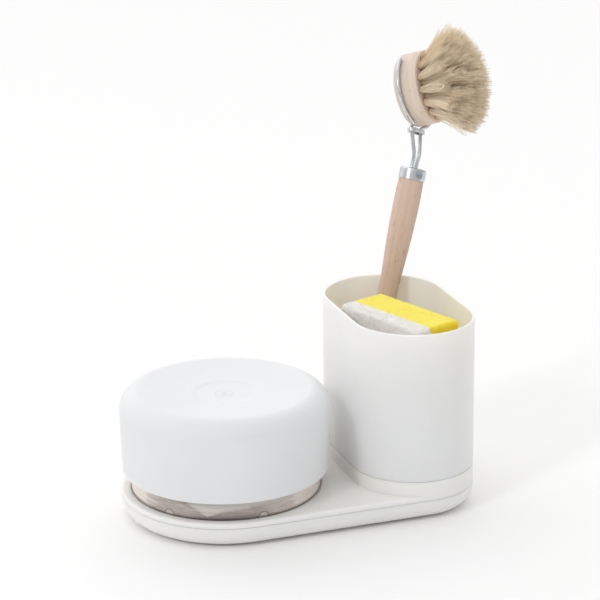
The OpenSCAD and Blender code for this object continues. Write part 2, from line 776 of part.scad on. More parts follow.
bristle_way = [sin(head_angle), 0, cos(head_angle)];
head_up = [-cos(head_angle), 0, sin(head_angle)];
wrap_mid = head_back + wire_seat * bristle_way;
slide_way = unit([sin(ring_lean), -ring_close, -cos(ring_lean)]);
ring_wire = ring_place + [0, wire_half_ring, 0];
wire_low = ring_wire + ring_straight * slide_way;
wire_high = ring_wire - ring_above * slide_way;
function wrap_at(a) = wrap_mid + wire_wrap_r * (sin(a) * [0, 1, 0] - cos(a) * head_up);
function wrap_way(a) = cos(a) * [0, 1, 0] + sin(a) * head_up;
wrap_start = wrap_at(wire_start_angle);
wire_entry = [0, wire_half_foot, wire_top_z];
// One arm of the wire, from its free end round the head down to the bend inside the handle
wire_arm = concat(
  [for (a = [wire_end_angle:-arc_step:wire_start_angle + arc_step / 2]) wrap_at(a)],
  [for (t = [0:0.2:1]) curve_at(wrap_start, wrap_start - bend_pull * wrap_way(wire_start_angle),
    wire_high - bend_pull * slide_way, wire_high, t)],
  [for (t = [0:0.2:1]) curve_at(wire_low, wire_low + foot_pull * slide_way,
    wire_entry + [0, 0, foot_pull], wire_entry, t)]);
wire_turn = [for (a = [0:arc_step * 3:180]) [0, wire_half_foot * cos(a), wire_bend_z - wire_half_foot * sin(a)]];

module wire_fork() {
  arm_back = [for (i = [len(wire_arm) - 1:-1:0]) [wire_arm[i].x, -wire_arm[i].y, wire_arm[i].z]];
  color("silver") brush_place()
    sweep_tube(concat(wire_arm, wire_turn, arm_back), wire_d / 2, wire_sides, bristle_way);
}

module clamp_ring() {
  color("silver") brush_place() translate(ring_place) rotate([0, -ring_lean, 0])
    translate([0, 0, -ring_h / 2]) linear_extrude(ring_h) difference() {
      ring_outline(ring_slot_r + ring_wall);
      ring_outline(ring_slot_r);
    }
}

module ring_outline(r) {
  square([2 * r, 2 * wire_half_ring], center = true);
  for (y = [-wire_half_ring, wire_half_ring]) translate([0, y]) circle(r);
}

module head_place() {
  brush_place() translate(head_back) rotate([0, head_angle, 0]) children();
}

module brush_head() {
  crown = head_r - head_back_r;
  outline = concat([for (i = [0:4]) [crown * i / 4, -head_dome * (1 - pow(i / 4, 2))]],
    [for (a = [arc_step * 2:arc_step * 2:90]) [crown + head_back_r * sin(a), head_back_r * (1 - cos(a))]],
    [[head_r, head_thick - head_face_r], [head_r - head_face_r, head_thick],
      [backing_r + push_gap, head_thick], [backing_r + push_gap, head_thick - backing_h],
      [0, head_thick - backing_h]]);
  color("wheat") head_place() difference() {
    rotate_extrude() polygon(outline);
    translate([0, 0, wire_seat]) cord_ring(wire_wrap_r, 2 * groove_r);
  }
}

// Rows of corners on the backing: the middle one, then six more in each further ring
function ring_start(k) = k == 0 ? 0 : 1 + 3 * k * (k - 1);
function corner_id(k, i) = k == 0 ? 0 : ring_start(k) + i % (6 * k);
function corner_at(k, i) = k == 0 ? [0, 0, 0] :
  backing_r * k / strand_rings * [cos(60 * i / k), sin(60 * i / k), 0];
function tip_height(r) = strand_l * sqrt(1 - pow(r / tip_dome_r, 2));
function waver(n) = strand_waver_share * sin(n * 137.5);

// Strand over the face between the corners a, b and c, spreading outwards to its tip
function strand_tip(corners, n) =
  let (mid = (corners[0] + corners[1] + corners[2]) / 3, spread = tip_spread_r / backing_r,
    tip = mid * spread * (1 + waver(n)))
  [for (p = corners) [tip.x, tip.y, tip_height(norm(tip)) * (1 + 2 * waver(n + 7))]
    + strand_share * spread * (p - mid)];

module bristle_tufts() {
  n = strand_rings;
  corners = [for (k = [0:n], i = [0:max(6 * k - 1, 0)]) corner_at(k, i)];
  // Faces whose outer side lies on the further ring each carry a strand
  bases = [for (k = [1:n], s = [0:5], j = [0:k - 1])
    [corner_id(k - 1, s * (k - 1) + j), corner_id(k, s * k + j), corner_id(k, s * k + j + 1)]];
  flats = [for (k = [2:n], s = [0:5], j = [0:k - 2])
    [corner_id(k - 1, s * (k - 1) + j), corner_id(k, s * k + j + 1), corner_id(k - 1, s * (k - 1) + j + 1)]];
  tips = [for (f = [0:len(bases) - 1]) each strand_tip([for (id = bases[f]) corners[id]], f)];
  rim = 6 * n;
  low = [for (i = [0:rim - 1]) corner_at(n, i) - [0, 0, backing_h]];
  tip_0 = len(corners);
  low_0 = tip_0 + len(tips);
  strands = [for (f = [0:len(bases) - 1]) let (b = bases[f], t = tip_0 + 3 * f)
    each [[t, t + 1, t + 2],
      for (e = [0:2]) let (g = (e + 1) % 3) each [[b[e], b[g], t + e], [b[g], t + g, t + e]]]];
  walls = [for (i = [0:rim - 1]) let (p = corner_id(n, i), q = corner_id(n, i + 1),
      u = low_0 + i, v = low_0 + (i + 1) % rim)
    each [[p, u, q], [q, u, v]]];
  under = [for (i = [1:rim - 2]) [low_0, low_0 + i + 1, low_0 + i]];
  faces = concat(strands, flats, walls, under);
  color("tan") head_place() translate([0, 0, head_thick])
    polyhedron(concat(corners, tips, low), [for (f = faces) [f[0], f[2], f[1]]]);
}

// Sponge, standing on end in the cup

module sponge_slab(from, thick, round_side) {
  r = sponge_corner_r;
  near = from + thick * (1 - round_side) / 2;
  translate([sponge_mid.x, sponge_mid.y, cup_floor_z + sponge_lift]) rotate(sponge_turn)
    linear_extrude(sponge_h) union() {
      translate([from + (round_side > 0 ? 0 : r), -sponge_w / 2]) square([thick - r, sponge_w]);
      translate([from, r - sponge_w / 2]) square([thick, sponge_w - 2 * r]);
      for (y = [r - sponge_w / 2, sponge_w / 2 - r])
        translate([round_side > 0 ? from + thick - r : from + r, y]) circle(r);
    }
}

module sponge_foam() {
  color("gold") sponge_slab((scourer_thick - foam_thick) / 2, foam_thick, 1);
}

module sponge_scourer() {
  color("ivory") sponge_slab(-(scourer_thick + foam_thick) / 2, scourer_thick, -1);
}

tray_base();
tray_deck();
foot_pads();
jar();
jar_feet();
pump_lid();
lid_seal();
pump_cylinder();
valve_cage();
check_ball();
piston();
piston_seal();
return_spring();
cap_carrier();
press_cap();
nozzle();
cup();
brush_handle();
handle_ferrule();
wire_fork();
clamp_ring();
brush_head();
bristle_tufts();
sponge_foam();
sponge_scourer();
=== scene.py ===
"""Finishes, lights and camera for the press-top soap dispenser caddy with its brush cup."""

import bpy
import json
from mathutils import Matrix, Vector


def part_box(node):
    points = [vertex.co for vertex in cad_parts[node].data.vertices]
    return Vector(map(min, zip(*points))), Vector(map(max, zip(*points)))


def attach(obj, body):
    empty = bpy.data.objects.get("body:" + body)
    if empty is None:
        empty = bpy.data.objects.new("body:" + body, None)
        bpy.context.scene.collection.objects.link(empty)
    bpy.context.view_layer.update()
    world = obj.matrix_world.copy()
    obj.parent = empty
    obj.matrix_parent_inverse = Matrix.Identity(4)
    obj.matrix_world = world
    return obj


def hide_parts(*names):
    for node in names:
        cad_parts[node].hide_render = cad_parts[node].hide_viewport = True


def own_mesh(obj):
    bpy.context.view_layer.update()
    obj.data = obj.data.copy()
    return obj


bl_info = {
    "name": "Soap dispenser caddy",
    "version": (1, 0, 0),
    "blender": (4, 5, 0),
    "location": "3D View > Sidebar > Caddy",
    "description": "Finishes the caddy's moulded, wooden, metal, fibre and foam pieces and sets its stage",
    "category": "Object",
}

import json
import math

import bmesh
import bpy
import numpy as np
from mathutils import Matrix, Vector, noise

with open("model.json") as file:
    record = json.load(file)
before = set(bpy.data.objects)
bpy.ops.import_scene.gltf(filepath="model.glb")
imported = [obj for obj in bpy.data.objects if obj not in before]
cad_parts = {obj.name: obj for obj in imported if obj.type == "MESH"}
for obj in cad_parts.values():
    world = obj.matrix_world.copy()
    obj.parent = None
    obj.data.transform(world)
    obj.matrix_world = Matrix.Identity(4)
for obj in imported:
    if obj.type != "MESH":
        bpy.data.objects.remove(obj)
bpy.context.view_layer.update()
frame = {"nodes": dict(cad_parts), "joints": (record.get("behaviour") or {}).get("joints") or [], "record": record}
BODY_OF = {node: body for body, nodes in frame["record"]["behaviour"]["bodies"].items() for node in nodes}

# Sizes that the source of the solids gives, in metres and degrees
CUP_PITCH = 0.099
CUP_HALF_W = 0.0335
CUP_END_OFF = 0.02115
CUP_FLOOR = 0.0242
RIM_Z = 0.1059
HANDLE_L = 0.143
HANDLE_R = 0.0073
FERRULE_H = 0.007
FOOT_Z = CUP_FLOOR + 0.0007
BRUSH_TILT = math.radians(21.7)
BRUSH_PLAN = math.radians(35.8)
BRUSH_ROLL = math.radians(-86.6)
HEAD_ANGLE = math.radians(70.4)
HEAD_BACK = Vector((-0.013, 0.0, HANDLE_L + 0.0489))
HEAD_R = 0.0207
HEAD_THICK = 0.0148
WIRE_R = 0.0011
WRAP_R = 0.02195
WRAP_UP = 0.0044
SPONGE_MID = Vector((CUP_PITCH - 0.0046, -0.0145, CUP_FLOOR + 0.0003))
SPONGE_TURN = math.radians(21.0)
SPONGE_W = 0.063
SPONGE_H = 0.082
FOAM_THICK = 0.0215
SCOURER_THICK = 0.0085

# The cap's top, whose bowl is as deep as the carrier under it allows
CAP_TOP = 0.0702
CAP_DISH = 0.046
CAP_SHOULDER = 0.0105
CAP_WALL = 0.0022
BOWL_DEPTH = 0.0028
HOLLOW_R = 0.0185
HOLLOW_EDGE = 0.004
HOLLOW_DEPTH = 0.0006
NOZZLE_HOLE = 0.00505

# The jar's picture, in millimetres round it from the photo's front and above the table
JAR_FRONT = math.radians(109.07)
JAR_R_MM = 50.5
# Lowest height of the painted refraction wedge on the jar, and where round the jar that low point is
REFRACTION_LOW = 17.4
REFRACTION_DIP = -8.1
JAR_FEET = (-30.2, 21.4)
JAR_FEET_UP = 15.2

# The camera that meets the photo
TARGET = Vector((0.04622, 0.00861, 0.11127))
CAMERA_TURN = math.radians(19.07)
CAMERA_RISE = math.radians(18.21)
CAMERA_ROLL = math.radians(-0.45)
CAMERA_FAR = 1.35919
PHOTO_WIDTH = 600
LENS_PIXELS = 2532.06
SHIFT_PIXELS = (-0.33, 0.09)
SENSOR = 36.0
LAMP_AT = (-2.85, -1.68, 2.29)


def brush_matrix():
    """Places the brush, whose Z runs along its handle and X towards its bristles."""
    lean = (RIM_Z - FOOT_Z) * math.tan(BRUSH_TILT)
    inset, around = 0.0084, math.radians(60.3)
    foot = Vector((
        CUP_PITCH + (CUP_HALF_W - inset) * math.cos(around) - lean * math.cos(BRUSH_PLAN),
        CUP_END_OFF + (CUP_HALF_W - inset) * math.sin(around) - lean * math.sin(BRUSH_PLAN),
        FOOT_Z,
    ))
    return (Matrix.Translation(foot) @ Matrix.Rotation(BRUSH_PLAN, 4, "Z")
            @ Matrix.Rotation(BRUSH_TILT, 4, "Y") @ Matrix.Rotation(BRUSH_ROLL, 4, "Z"))


BRUSH = brush_matrix()
HEAD = BRUSH @ Matrix.Translation(HEAD_BACK) @ Matrix.Rotation(HEAD_ANGLE, 4, "Y")
HEAD_FACE = HEAD @ Matrix.Translation((0.0, 0.0, HEAD_THICK))
SPONGE = Matrix.Translation(SPONGE_MID) @ Matrix.Rotation(SPONGE_TURN, 4, "Z")


# Meshes

def new_object(name, mesh, angle):
    """A new object, smooth except along edges sharper than the angle."""
    mesh.shade_smooth()
    if angle < 180:
        mesh.set_sharp_from_angle(angle=math.radians(angle))
    obj = bpy.data.objects.new(name, mesh)
    bpy.context.scene.collection.objects.link(obj)
    return obj


def mesh_object(name, verts, faces, angle=35.0):
    """A new object from plain lists of points and faces."""
    mesh = bpy.data.meshes.new(name)
    mesh.from_pydata([tuple(v) for v in verts], [], faces)
    mesh.validate()
    mesh.update()
    return new_object(name, mesh, angle)


def attend(piece, node):
    """Lets a piece move and be sorted with a CAD node."""
    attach(piece, BODY_OF[node])


def settle(piece, node, material):
    """Gives a piece its finish and lets it stand for its CAD node."""
    piece.data.materials.clear()
    piece.data.materials.append(material)
    attend(piece, node)
    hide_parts(node)


def dressed(node, name, material, angle=35.0, soften=None, radius=0.00025):
    """A smooth copy of a CAD node that stands for it. soften picks the edges that get a small radius."""
    bm = bmesh.new()
    bm.from_mesh(frame["nodes"][node].data)
    bmesh.ops.remove_doubles(bm, verts=bm.verts, dist=2e-6)
    if soften:
        bmesh.ops.dissolve_limit(bm, angle_limit=math.radians(0.4), verts=bm.verts, edges=bm.edges)
        picked = [e for e in bm.edges if e.is_manifold and abs(e.calc_face_angle(0.0)) > 0.7
                  and soften(*(v.co for v in e.verts))]
        bmesh.ops.bevel(bm, geom=picked, offset=radius, segments=3, profile=0.5,
                        affect="EDGES", clamp_overlap=True)
    bmesh.ops.triangulate(bm, faces=[f for f in bm.faces if len(f.verts) > 4])
    bm.verts.index_update()
    verts = [v.co.copy() for v in bm.verts]
    faces = sorted([v.index for v in f.verts] for f in bm.faces)
    bm.free()
    settle(mesh_object(name, verts, faces, angle), node, material)


def arc(r, z, radius, first, step, count):
    """Points of (radius, height) on an arc round (r, z), from the first angle on, in degrees."""
    return [(r + radius * math.cos(a), z + radius * math.sin(a))
            for a in (math.radians(first + step * k) for k in range(count))]


def lathe(name, profile, steps, place, angle=35.0):
    """Turns a closed profile of (radius, height) round Z; points on the axis become poles."""
    verts, rings = [], []
    for r, z in profile:
        if r < 1e-7:
            rings.append([len(verts)] * steps)
            verts.append(place @ Vector((0.0, 0.0, z)))
        else:
            rings.append(list(range(len(verts), len(verts) + steps)))
            verts += [place @ Vector((r * math.cos(t), r * math.sin(t), z))
                      for t in (2 * math.pi * k / steps for k in range(steps))]
    faces = []
    for low, high in zip(rings, rings[1:]):
        for k in range(steps):
            j = (k + 1) % steps
            face = [low[k], low[j], high[j], high[k]]
            face = [v for i, v in enumerate(face) if v not in face[:i]]
            if len(face) > 2:
                faces.append(face)
    return mesh_object(name, verts, faces, angle)


def grown(name, source, tree, settings, place, angle=35.0):
    """Runs a Geometry Nodes tree on a mesh and keeps its result as a plain mesh."""
    seed = bpy.data.objects.new(name + "_seed", source)
    bpy.context.scene.collection.objects.link(seed)
    modifier = seed.modifiers.new("grow", "NODES")
    modifier.node_group = tree
    names = {item.name: item.identifier for item in tree.interface.items_tree if item.item_type == "SOCKET"}
    for key, value in settings.items():
        modifier[names[key]] = value
    bpy.context.view_layer.update()
    ready = seed.evaluated_get(bpy.context.evaluated_depsgraph_get())
    mesh = bpy.data.meshes.new_from_object(ready)
    mesh.name = name
    seed.modifiers.clear()
    bpy.data.objects.remove(seed)
    mesh.transform(place)
    return new_object(name, mesh, angle)


def chain(name, points, edges=()):
    """A mesh of points and edges alone, for a tree to grow on."""
    mesh = bpy.data.meshes.new(name)
    mesh.from_pydata([tuple(p) for p in points], list(edges), [])
    return mesh


# Node trees

class Value:
    """What a node gives out. A sum or a product with one in it becomes a further node."""

    def __init__(self, tree, socket):
        self.tree, self.socket = tree, socket

    def math(self, operation, *values):
        """A further node on these values, which works on vectors where this one is a vector."""
        kind = "ShaderNodeVectorMath" if self.socket.type == "VECTOR" else "ShaderNodeMath"
        return self.tree.value(kind, dict(enumerate(values)), operation=operation)

    def __add__(self, other):
        return self.math("ADD", self, other)

    def __radd__(self, other):
        return self.math("ADD", other, self)

    def __sub__(self, other):
        return self.math("SUBTRACT", self, other)

    def __rsub__(self, other):
        return self.math("SUBTRACT", other, self)

    def __mul__(self, other):
        return self.math("MULTIPLY", self, other)

    def __rtruediv__(self, other):
        return self.math("DIVIDE", other, self)

    def __truediv__(self, other):
        return self.math("DIVIDE", self, other)

    def __abs__(self):
        return self.math("ABSOLUTE", self)

    def most(self, other):
        return self.math("MAXIMUM", self, other)

    def root(self):
        return self.math("SQRT", self)

    def clamped(self):
        """The same sum or product, kept from 0 to 1."""
        self.socket.node.use_clamp = True
        return self

    def scaled(self, by):
        """A vector times a number."""
        return self.tree.value("ShaderNodeVectorMath", {0: self, "Scale": by}, operation="SCALE")

    def length(self):
        return self.tree.value("ShaderNodeVectorMath", {0: self}, "Value", operation="LENGTH")


class Tree:
    """Short calls for building a node tree."""

    def __init__(self, tree):
        self.tree = tree

    def put(self, socket, value):
        """Links a node's value to a socket, or gives the socket a number or colour of its own."""
        if isinstance(value, Value):
            self.tree.links.new(value.socket, socket)
        elif value is not None:
            socket.default_value = value

    def add(self, kind, values=None, **settings):
        made = self.tree.nodes.new(kind)
        for key, value in settings.items():
            setattr(made, key, value)
        for key, value in (values or {}).items():
            self.put(made.inputs[key], value)
        return made

    def value(self, kind, values=None, output=0, **settings):
        return Value(self, self.add(kind, values, **settings).outputs[output])

    def values(self, kind, values=None, **settings):
        """All that a node gives out, by name."""
        return {socket.name: Value(self, socket) for socket in self.add(kind, values, **settings).outputs}

    def axes(self, vector):
        return self.values("ShaderNodeSeparateXYZ", {0: vector}).values()

    def xyz(self, x=None, y=None, z=None):
        return self.value("ShaderNodeCombineXYZ", {"X": x, "Y": y, "Z": z})

    def blend(self, factor, a, b, mode="MIX"):
        return self.value("ShaderNodeMix", {0: factor, 6: a, 7: b}, 2, data_type="RGBA", blend_type=mode)

    def noise(self, vector, scale, detail=2.0, rough=0.5, distort=0.0):
        return self.value("ShaderNodeTexNoise", {"Vector": vector, "Scale": scale, "Detail": detail,
                                                 "Roughness": rough, "Distortion": distort}, "Fac")

    def cells(self, vector, scale, output="Distance"):
        return self.value("ShaderNodeTexVoronoi", {"Vector": vector, "Scale": scale}, output, feature="F1")

    def span(self, value, low, high, to_low=0.0, to_high=1.0):
        return self.value("ShaderNodeMapRange", {"Value": value, "From Min": low, "From Max": high,
                                                 "To Min": to_low, "To Max": to_high}, "Result")

    def inputs(self, inputs):
        """Gives the tree its inputs. A default's type says its kind, and None stands for a vector."""
        kinds = {type(None): "Vector", tuple: "Color", float: "Float", int: "Int"}
        for label, default in inputs.items():
            socket = self.tree.interface.new_socket(label, in_out="INPUT",
                                                    socket_type="NodeSocket" + kinds[type(default)])
            if default is not None:
                socket.default_value = default

    def close(self, **results):
        """Feeds the tree's results to its outputs and hands the tree back."""
        self.add("NodeGroupOutput", results)
        return self.tree


# Effects that several finishes share

def effect_group(name, inputs, *more):
    """A new shader group that gives a colour, a roughness, a height and what else is named."""
    t = Tree(bpy.data.node_groups.new(name, "ShaderNodeTree"))
    t.inputs({"Vector": None, **inputs})
    for label in ("Color", "Roughness", "Height", *more):
        kind = "NodeSocketColor" if label == "Color" else "NodeSocketFloat"
        t.tree.interface.new_socket(label, in_out="OUTPUT", socket_type=kind)
    return t, t.values("NodeGroupInput")


def moulded_group(name):
    """Injection-moulded plastic: soft cloudiness, a fine spark-eroded grain and faint handling marks."""
    t, i = effect_group(name, {
        "Body": (0.8, 0.8, 0.8, 1.0), "Shade": (0.7, 0.7, 0.7, 1.0), "Grain per metre": 1600.0,
        "Low roughness": 0.4, "High roughness": 0.5})
    cloud = t.noise(i["Vector"], 22.0, 3.0, 0.55)
    fine = t.noise(i["Vector"], i["Grain per metre"], 2.0, 0.6)
    marks = t.noise(i["Vector"] * (1.0, 1.0, 0.35), 95.0, 4.0, 0.6, 0.8)
    spread = (cloud * 0.6 + t.span(marks, 0.54, 0.74) * 0.5).clamped()
    return t.close(Color=t.blend(t.span(cloud, 0.35, 0.7), i["Body"], i["Shade"]), Height=fine,
                   Roughness=t.span(spread, 0.0, 1.0, i["Low roughness"], i["High roughness"]))


def wood_group(name):
    """Turned beech: long fine grain, soft growth bands and short darker ray flecks, along local Z."""
    t, i = effect_group(name, {
        "Pale": (0.7, 0.5, 0.35, 1.0), "Deep": (0.5, 0.3, 0.2, 1.0), "Fleck": (0.3, 0.17, 0.1, 1.0),
        "Fleck amount": 0.5, "Band width": 0.003})
    wavy = t.noise(i["Vector"] * (1.0, 1.0, 0.12), 60.0, 3.0, 0.6)
    shifted = i["Vector"] + t.xyz(wavy, wavy) * (0.006, 0.002, 0.0)
    bands = t.noise(shifted * (1.0, 0.25, 0.03), 1.0 / i["Band width"], 2.0, 0.5)
    fibre = t.noise(i["Vector"] * (1.0, 1.0, 0.045), 2400.0, 3.0, 0.7)
    cells = t.cells(i["Vector"] * (1.0, 0.45, 0.16), 900.0)
    fleck = (t.span(cells, 0.30, 0.12) * t.span(fibre, 0.42, 0.62) * i["Fleck amount"]).clamped()
    tone = (t.span(bands, 0.3, 0.7) * 0.6 + t.span(fibre, 0.3, 0.75) * 0.4).clamped()
    return t.close(Color=t.blend(fleck, t.blend(tone, i["Pale"], i["Deep"]), i["Fleck"]),
                   Roughness=t.span(tone, 0.0, 1.0, 0.5, 0.68), Height=fibre - fleck * 0.5)


def zinc_group(name):
    """Galvanised steel: drawn lines along local Z, dull spangle and small darker spots."""
    t, i = effect_group(name, {
        "Bright": (0.6, 0.62, 0.64, 1.0), "Dull": (0.4, 0.41, 0.43, 1.0), "Low roughness": 0.22,
        "High roughness": 0.42})
    lines = t.noise(i["Vector"] * (1.0, 1.0, 0.05), 2600.0, 2.0, 0.6)
    cell = t.value("ShaderNodeSeparateColor", {"Color": t.cells(i["Vector"], 420.0, "Color")})
    spot = t.span(t.noise(i["Vector"], 380.0, 4.0, 0.7), 0.6, 0.75)
    tone = (cell * 0.45 + spot * 0.6).clamped()
    mixed = (tone * 0.6 + lines * 0.4).clamped()
    return t.close(Color=t.blend(tone, i["Bright"], i["Dull"]), Height=lines,
                   Roughness=t.span(mixed, 0.0, 1.0, i["Low roughness"], i["High roughness"]))


def cellular_group(name):
    """Open cells: round pores of two sizes, used by foam, and matted fibres, used by the scouring layer."""
    t, i = effect_group(name, {
        "Skin": (1.0, 0.85, 0.1, 1.0), "Pore": (0.8, 0.6, 0.02, 1.0), "Cell size": 0.0012})
    per = 1.0 / i["Cell size"]
    wide = t.cells(i["Vector"], per)
    small = t.cells(i["Vector"], per * 2.7)
    dip = t.span(wide, 0.42, 0.16) * t.span(t.noise(i["Vector"], 260.0, 2.0), 0.4, 0.6)
    mask = dip.most(t.span(small, 0.4, 0.15) * 0.45)
    # The second colour fills the pores: painted shade in them
    return t.close(Color=t.blend(mask, i["Skin"], i["Pore"]), Roughness=t.span(mask, 0.0, 1.0, 0.82, 0.97),
                   Height=1.0 - mask)


def jar_group(name):
    """A clear wall with painted light and shade of what is behind it, mapped by arc length from the front and height,
    in millimetres.
    """
    t, i = effect_group(name, {
        "Clear": (0.8, 0.75, 0.7, 1.0), "Smoke": (0.4, 0.35, 0.33, 1.0), "Soap": (0.9, 0.85, 0.8, 1.0)}, "Density")
    x, y, z = t.axes(i["Vector"])
    turn = x.math("ARCTAN2", y, x) + JAR_FRONT
    round_mm = turn.math("WRAP", turn, math.pi, -math.pi) * JAR_R_MM
    up_mm = z * 1000.0 + t.span(t.noise(i["Vector"], 130.0, 3.0, 0.6), 0.3, 0.7, -0.35, 0.35)
    aside = abs(round_mm)
    streaks = t.noise(t.xyz(round_mm * 0.035, up_mm * 0.42), 2.4, 4.0, 0.62, 0.9)

    # Painted refraction: a lighter wedge seen through the wall, lowest left of the middle and running up to both
    # sides, with a lighter line along its edge
    left = REFRACTION_LOW + (REFRACTION_DIP - round_mm) * 0.54
    run = (round_mm - REFRACTION_DIP) * (-1 / 13)
    right = REFRACTION_LOW + (1.0 - run.math("EXPONENT", run)) * 5.2
    over = up_mm - left.most(right)
    refraction_wedge = t.span(over, -0.1, 0.5)
    line = t.span(over, -0.5, -0.15) * t.span(over, 0.25, -0.1)
    # Painted light: the wall is lighter and denser at its two sides and towards the right end
    ends = t.span(aside + streaks * 10.0, 42.0, 54.0).most(t.span(round_mm + streaks * 14.0, 27.0, 50.0))
    # Painted shade: a dark patch low in the middle, where the inside is in shade
    deep = t.span(abs(round_mm - 2.0), 26.0, 6.0) * t.span(up_mm, 20.5, 16.5)

    # The moulded feet, painted as seen through the wall: small arches, a lighter painted fill inside an outline of
    # painted shade
    rims, fills = [], []
    for place in JAR_FEET:
        gone = t.xyz(round_mm - place, up_mm - JAR_FEET_UP).length()
        rims.append(t.span(gone, 2.3, 2.7) * t.span(gone, 3.5, 3.1))
        fills.append(t.span(gone, 2.7, 2.1))
    rim, fill = rims[0].most(rims[1]), fills[0].most(fills[1])

    # The smoky tint, which also stands for painted shade of the inside, turns to Clear with the streaks and the
    # painted light of the ends
    tone = (t.span(streaks, 0.3, 0.7) * 0.42 + ends * 0.62).clamped()
    colour = t.blend(tone, i["Smoke"], i["Clear"])
    # Laid over the tint: the dark patch of painted shade, the painted refraction wedge and its line, and the feet's
    # painted fill and outline
    for amount, over_it in ((deep * 0.62, (0.2, 0.16, 0.16, 1.0)),
                            (refraction_wedge * t.span(aside, 44.0, 20.0, 0.1, 0.8), i["Soap"]),
                            (line * 0.75, i["Soap"]), (fill * 0.7, i["Soap"]),
                            (rim * 0.55, (0.2, 0.16, 0.15, 1.0))):
        colour = t.blend(amount, colour, over_it)
    return t.close(Color=colour, Roughness=t.span(streaks, 0.3, 0.7, 0.08, 0.22), Height=line * 0.5 + rim,
                   Density=t.span(streaks, 0.3, 0.7, 0.74, 0.92).most(ends))


EFFECTS = {"moulded plastic": moulded_group, "turned beech": wood_group, "galvanised steel": zinc_group,
           "open cells": cellular_group, "jar with painted light and shade": jar_group}


# Geometry trees

def geometry_tree(name, inputs):
    """A new geometry tree with its sockets."""
    t = Tree(bpy.data.node_groups.new(name, "GeometryNodeTree"))
    t.tree.interface.new_socket("Geometry", in_out="INPUT", socket_type="NodeSocketGeometry")
    t.inputs(inputs)
    t.tree.interface.new_socket("Material", in_out="INPUT", socket_type="NodeSocketMaterial")
    t.tree.interface.new_socket("Geometry", in_out="OUTPUT", socket_type="NodeSocketGeometry")
    return t, t.values("NodeGroupInput")


def finished(t, i, geometry):
    """Realizes what a geometry tree made and gives it its material."""
    real = t.value("GeometryNodeRealizeInstances", {"Geometry": geometry})
    smooth = t.value("GeometryNodeSetShadeSmooth", {"Geometry": real})
    return t.close(Geometry=t.value("GeometryNodeSetMaterial", {"Geometry": smooth, "Material": i["Material"]}))


def piped(t, curve, sides, radius, scale=None):
    """A round skin along a curve, closed at its ends."""
    section = t.value("GeometryNodeCurvePrimitiveCircle", {"Resolution": sides, "Radius": radius})
    return t.value("GeometryNodeCurveToMesh", {"Curve": curve, "Profile Curve": section, "Scale": scale,
                                               "Fill Caps": True})


def chance(t, low, high, key, seed):
    """A random number between low and high for each key."""
    return t.value("FunctionNodeRandomValue", {2: low, 3: high, 7: key, 8: seed}, 1, data_type="FLOAT")


def astray(t, reach, key, seed):
    """A random vector for each key, within reach on either side."""
    return t.value("FunctionNodeRandomValue", {0: tuple(-r for r in reach), 1: reach, 7: key, 8: seed},
                   data_type="FLOAT_VECTOR")


def noted(t, geometry, name, value, kind="FLOAT_VECTOR"):
    """The geometry with a value kept at each point under a name."""
    return t.value("GeometryNodeStoreNamedAttribute", {"Geometry": geometry, "Name": name, "Value": value},
                   data_type=kind, domain="POINT")


def recalled(t, name):
    """The vector that is kept at each point under a name."""
    return t.value("GeometryNodeInputNamedAttribute", {"Name": name}, data_type="FLOAT_VECTOR")


def wire_tree():
    """A round wire along the edges of the source mesh."""
    t, i = geometry_tree("wire along a path", {"Wire radius": WIRE_R, "Sides": 16})
    path = t.value("GeometryNodeMeshToCurve", {"Mesh": i["Geometry"]})
    return finished(t, i, piped(t, path, i["Sides"], i["Wire radius"]))


def coil_tree():
    """A round wire wound into a coil that stands on the origin."""
    t, i = geometry_tree("wound coil", {
        "Wire radius": 0.0007, "Sides": 12, "Coil radius": 0.0199, "Turns": 4.0, "Height": 0.0166,
        "Points per turn": 40})
    coil = t.value("GeometryNodeCurveSpiral", {
        "Resolution": i["Points per turn"], "Rotations": i["Turns"], "Start Radius": i["Coil radius"],
        "End Radius": i["Coil radius"], "Height": i["Height"]})
    return finished(t, i, piped(t, coil, i["Sides"], i["Wire radius"]))


